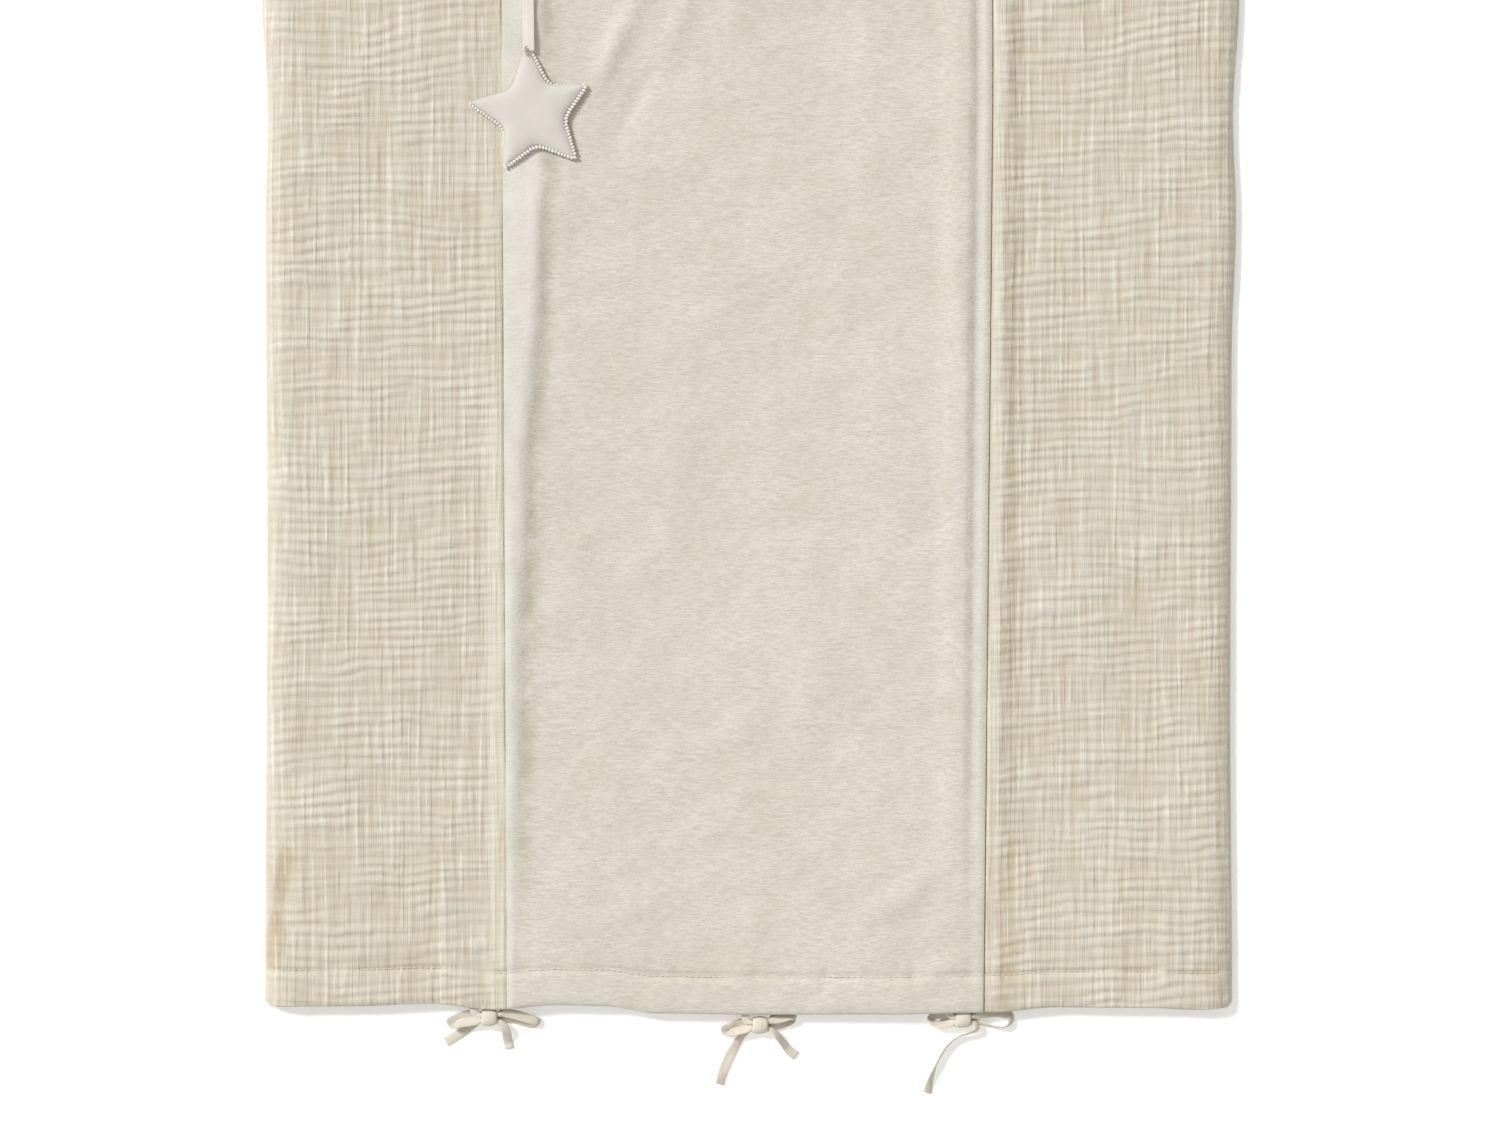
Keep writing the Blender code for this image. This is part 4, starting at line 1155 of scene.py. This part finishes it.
def thread_lines_group():
    """Upright and level threads of uneven gauze, as a height and a mask of the raised threads, which the
    gauze lightens as painted highlight.
    """
    group, given, wanted = new_group(
        "uneven_threads", [("Place", "Vector"), ("Upright", "Float", 1.0), ("Level", "Float", 0.5)],
        [("Height", "Float"), ("Raised_threads", "Float")])
    upright = stretched_noise(group, given["Place"], 1.15 * MM, 34 * MM, 1.5)
    broad = stretched_noise(group, given["Place"], 3.2 * MM, 60 * MM, 1.0)
    level = stretched_noise(group, given["Place"], 22 * MM, 1.3 * MM, 1.5)
    grain = stretched_noise(group, given["Place"], 0.5 * MM, 0.5 * MM, 1.0)
    upright_part = math_node(group, "MULTIPLY", math_node(group, "ADD", upright, broad), given["Upright"])
    level_part = math_node(group, "MULTIPLY", level, given["Level"])
    lines = math_node(group, "ADD", upright_part, level_part)
    height = math_node(group, "ADD", lines, math_node(group, "MULTIPLY", grain, 0.25))
    group.links.new(height, wanted["Height"])
    group.links.new(spread(group, lines, 0.85, 1.55), wanted["Raised_threads"])
    return group


def mottle_group():
    """Two tints in soft clouds over a base colour."""
    group, given, wanted = new_group(
        "soft_mottle", [("Place", "Vector"), ("Base", "Color"), ("Warm", "Color"), ("Cool", "Color"),
                        ("Size", "Float", 0.02), ("Amount", "Float", 0.5)], [("Colour", "Color")])
    fine = math_node(group, "DIVIDE", 1.0, given["Size"])
    broad = math_node(group, "MULTIPLY", fine, 0.37)
    clouds = (("Warm", {"Scale": fine, "Detail": 3.0, "Roughness": 0.6}),
              ("Cool", {"Scale": broad, "Detail": 2.0, "Distortion": 0.4}))
    colour = given["Base"]
    for tint, values in clouds:
        noise = add_node(group, "TexNoise", inputs={"Vector": given["Place"], **values})
        mask = math_node(group, "MULTIPLY", spread(group, noise.outputs["Fac"], 0.42, 0.68), given["Amount"])
        colour = mixed(group, mask, colour, given[tint])
    group.links.new(colour, wanted["Colour"])
    return group


def weave_group():
    """A fine plain weave as height, with its pitch in metres."""
    group, given, wanted = new_group("plain_weave", [("Place", "Vector"), ("Pitch", "Float", 0.0006)],
                                     [("Height", "Float")])
    turns = math_node(group, "DIVIDE", 2 * math.pi, given["Pitch"])
    split = add_node(group, "SeparateXYZ", inputs={"Vector": given["Place"]})
    waves = [math_node(group, "SINE", math_node(group, "MULTIPLY", split.outputs[axis], turns))
             for axis in ("X", "Y")]
    group.links.new(math_node(group, "MULTIPLY", waves[0], waves[1]), wanted["Height"])
    return group


def gauze_finish(threads, mottle):
    """Uneven threads over tinted gauze, with painted shade in its hollows and grooves and painted highlight
    on its ridges, raised threads and the strips beside the seams.
    """
    recipe = Recipe("crinkled_gauze")
    lines = recipe.group(threads, Place=recipe.place, Upright=1.0, Level=0.55)
    tone = recipe.tinted(mottle, (0.635, 0.594, 0.500), (0.632, 0.562, 0.452), (0.648, 0.621, 0.545),
                         0.011, 0.7)
    # Painted shade in the crinkle's hollows, from the stored height of the crinkle
    hollows = recipe.spread(recipe.stored("crinkle"), 0.15, 0.75, 0.42, 0.0)
    shaded = recipe.mix(hollows, tone, (0.50, 0.415, 0.295))
    # Upright grooves and ridges between the threads, in patches only
    stretched = recipe.add("Mapping", inputs={"Vector": recipe.place, "Scale": (1, 0.06, 1)})
    wave = recipe.add("TexWave", wave_type="BANDS", bands_direction="X",
                      inputs={"Vector": stretched.outputs[0], "Scale": 58.0, "Distortion": 6.0, "Detail": 2.0,
                              "Detail Scale": 1.6}).outputs["Fac"]
    here = recipe.spread(recipe.noise(6 * MM, 17 * MM, 1.5), 0.4, 0.62)
    groove = recipe.math("MULTIPLY", recipe.spread(wave, 0.0, 0.45, 1.0, 0.0), here)
    ridge = recipe.math("MULTIPLY", recipe.spread(wave, 0.75, 1.0, 0.0, 0.45), here)
    # Browner streaks, then painted shade from the stored tone and in the grooves; then painted highlight on
    # the raised threads, the ridges and the raised strips beside the seams
    shade_and_highlight = recipe.stored("shade_and_highlight")
    streak = recipe.spread(recipe.noise(3.4 * MM, 38 * MM, 2.0), 0.5, 0.78, 0.0, 0.5)
    deep = recipe.math("ADD", recipe.math("ADD", streak, recipe.math("MAXIMUM", shade_and_highlight)),
                       recipe.math("MULTIPLY", groove, 0.22))
    streaked_and_shaded = recipe.mix(deep, shaded, (0.50, 0.41, 0.285))
    light = recipe.math("ADD", recipe.math("MULTIPLY", lines.outputs["Raised_threads"], 0.22), ridge)
    lined = recipe.mix(light, streaked_and_shaded, (0.82, 0.795, 0.71))
    colour = recipe.mix(painted_highlight_share(recipe, shade_and_highlight), lined, (0.80, 0.77, 0.67))
    relief = recipe.math("SUBTRACT", lines.outputs["Height"], recipe.math("MULTIPLY", groove, 0.3))
    return recipe.finish(colour, relief, 0.85, 0.55 * MM, 0.95, 0.12)


def painted_highlight_share(recipe, shade_and_highlight):
    """How far painted highlight pales the colour, from the stored tone where that is below 0."""
    return recipe.spread(recipe.math("MULTIPLY", shade_and_highlight, -1.0), 0.0, 1.0)


def terry_finish(mottle):
    """Short pile in fine broken rows, with painted shade in the hollows between its tufts."""
    recipe = Recipe("terry_pile")
    tone = recipe.tinted(mottle, (0.705, 0.686, 0.622), (0.690, 0.650, 0.572), (0.730, 0.722, 0.664),
                         0.016, 0.8)
    loops = recipe.add("TexVoronoi", feature="F1", inputs={"Vector": recipe.place, "Scale": 1100.0})
    grain = recipe.math("MULTIPLY", recipe.noise(1.0 * MM, 0.8 * MM, 2.0), 0.5)
    pile = recipe.math("ADD", recipe.noise(5.0 * MM, 0.8 * MM, 2.0), grain)
    height = recipe.math("SUBTRACT", pile, recipe.math("MULTIPLY", loops.outputs["Distance"], 0.4))
    shade_and_highlight = recipe.stored("shade_and_highlight")
    # Painted shade in the pile's hollows and beside the seams; painted highlight on the raised strips follows
    deep = recipe.math("ADD", recipe.spread(pile, 0.52, 0.92, 0.72, 0.0), recipe.math("MAXIMUM", shade_and_highlight))
    toned = recipe.mix(deep, tone, (0.53, 0.485, 0.395))
    colour = recipe.mix(painted_highlight_share(recipe, shade_and_highlight), toned, (0.80, 0.78, 0.735))
    return recipe.finish(colour, height, 0.5, 0.32 * MM, 0.97, 0.25)


# How much of the cloth's own red, green and blue is left in the line beside the star's stitches
RIM_SHADE = (0.66, 0.56, 0.46)


def woven_finish(name, weave, mottle, base, pitch, roughness, sheen, by_band=False):
    """A plain weave in one colour, which runs along a band if by_band is set."""
    recipe = Recipe(name)
    place = recipe.place
    if by_band:
        place = recipe.add("Attribute", attribute_name="along_band").outputs["Vector"]
    dim = tuple(0.94 * c for c in base)
    tone = recipe.tinted(mottle, base, (base[0], *dim[1:]), dim, 0.006, 0.5, place)
    shade = tuple(c * f for c, f in zip(base, RIM_SHADE))
    lined = recipe.mix(recipe.math("MULTIPLY", recipe.stored("rim"), 0.8), tone, shade)
    height = recipe.group(weave, Place=place, Pitch=pitch).outputs["Height"]
    return recipe.finish(lined, height, 0.3, 0.08 * MM, roughness, sheen)


def thread_finish(name, base, mottle):
    """Twisted sewing thread."""
    recipe = Recipe(name)
    twist = recipe.add("TexWave", wave_type="BANDS", bands_direction="DIAGONAL",
                       inputs={"Vector": recipe.place, "Scale": 900.0, "Distortion": 1.0})
    tone = recipe.tinted(mottle, base, base, tuple(0.88 * c for c in base), 0.004, 0.6)
    return recipe.finish(tone, twist.outputs["Fac"], 0.4, 0.1 * MM, 0.75, 0.2)


# ---------------------------------------------------------------- the whole

bpy.ops.object.select_all(action="DESELECT")
set_the_camera()
light_the_room()
lay_the_floor()
mottle, threads, weave = mottle_group(), thread_lines_group(), weave_group()
gauze = gauze_finish(threads, mottle)
terry = terry_finish(mottle)
tie_cloth = woven_finish("tie_gauze", weave, mottle, (0.72, 0.675, 0.585), 0.7 * MM, 0.9, 0.15, by_band=True)
satin = woven_finish("ribbon_weave", weave, mottle, (0.79, 0.755, 0.68), 0.5 * MM, 0.55, 0.1)
cotton = woven_finish("star_cotton", weave, mottle, (0.69, 0.67, 0.615), 0.45 * MM, 0.7, 0.2)
wadding = woven_finish("wadding", weave, mottle, (0.8, 0.79, 0.75), 2 * MM, 0.95, 0.3)
thread = thread_finish("sewing_thread", (0.74, 0.67, 0.55), mottle)
white_thread = thread_finish("edging_thread", (0.91, 0.885, 0.835), mottle)
grey_thread = thread_finish("tack_thread", (0.44, 0.42, 0.39), mottle)

tie_the_bows(tie_cloth)
back_cloth(gauze)
front_panel("left_gauze", -SIDE_X, LEFT_SEAM, GAUZE, (False, True), 70, gauze)
front_panel("right_gauze", RIGHT_SEAM, SIDE_X, GAUZE, (True, False), 90, gauze)
front_panel("terry", LEFT_SEAM, RIGHT_SEAM, TERRY, (True, True), 110, terry)
hem_stitches(thread)
seam_stitches(thread)
closing_stitches(thread)
hang_the_ribbon(satin)
star_cloth("star_front_cloth", 1, cotton, "star_front")
star_cloth("star_back_cloth", -1, cotton, "star_back")
star_wadding(wadding)
star_edge_stitches(white_thread)
star_tack(grey_thread)
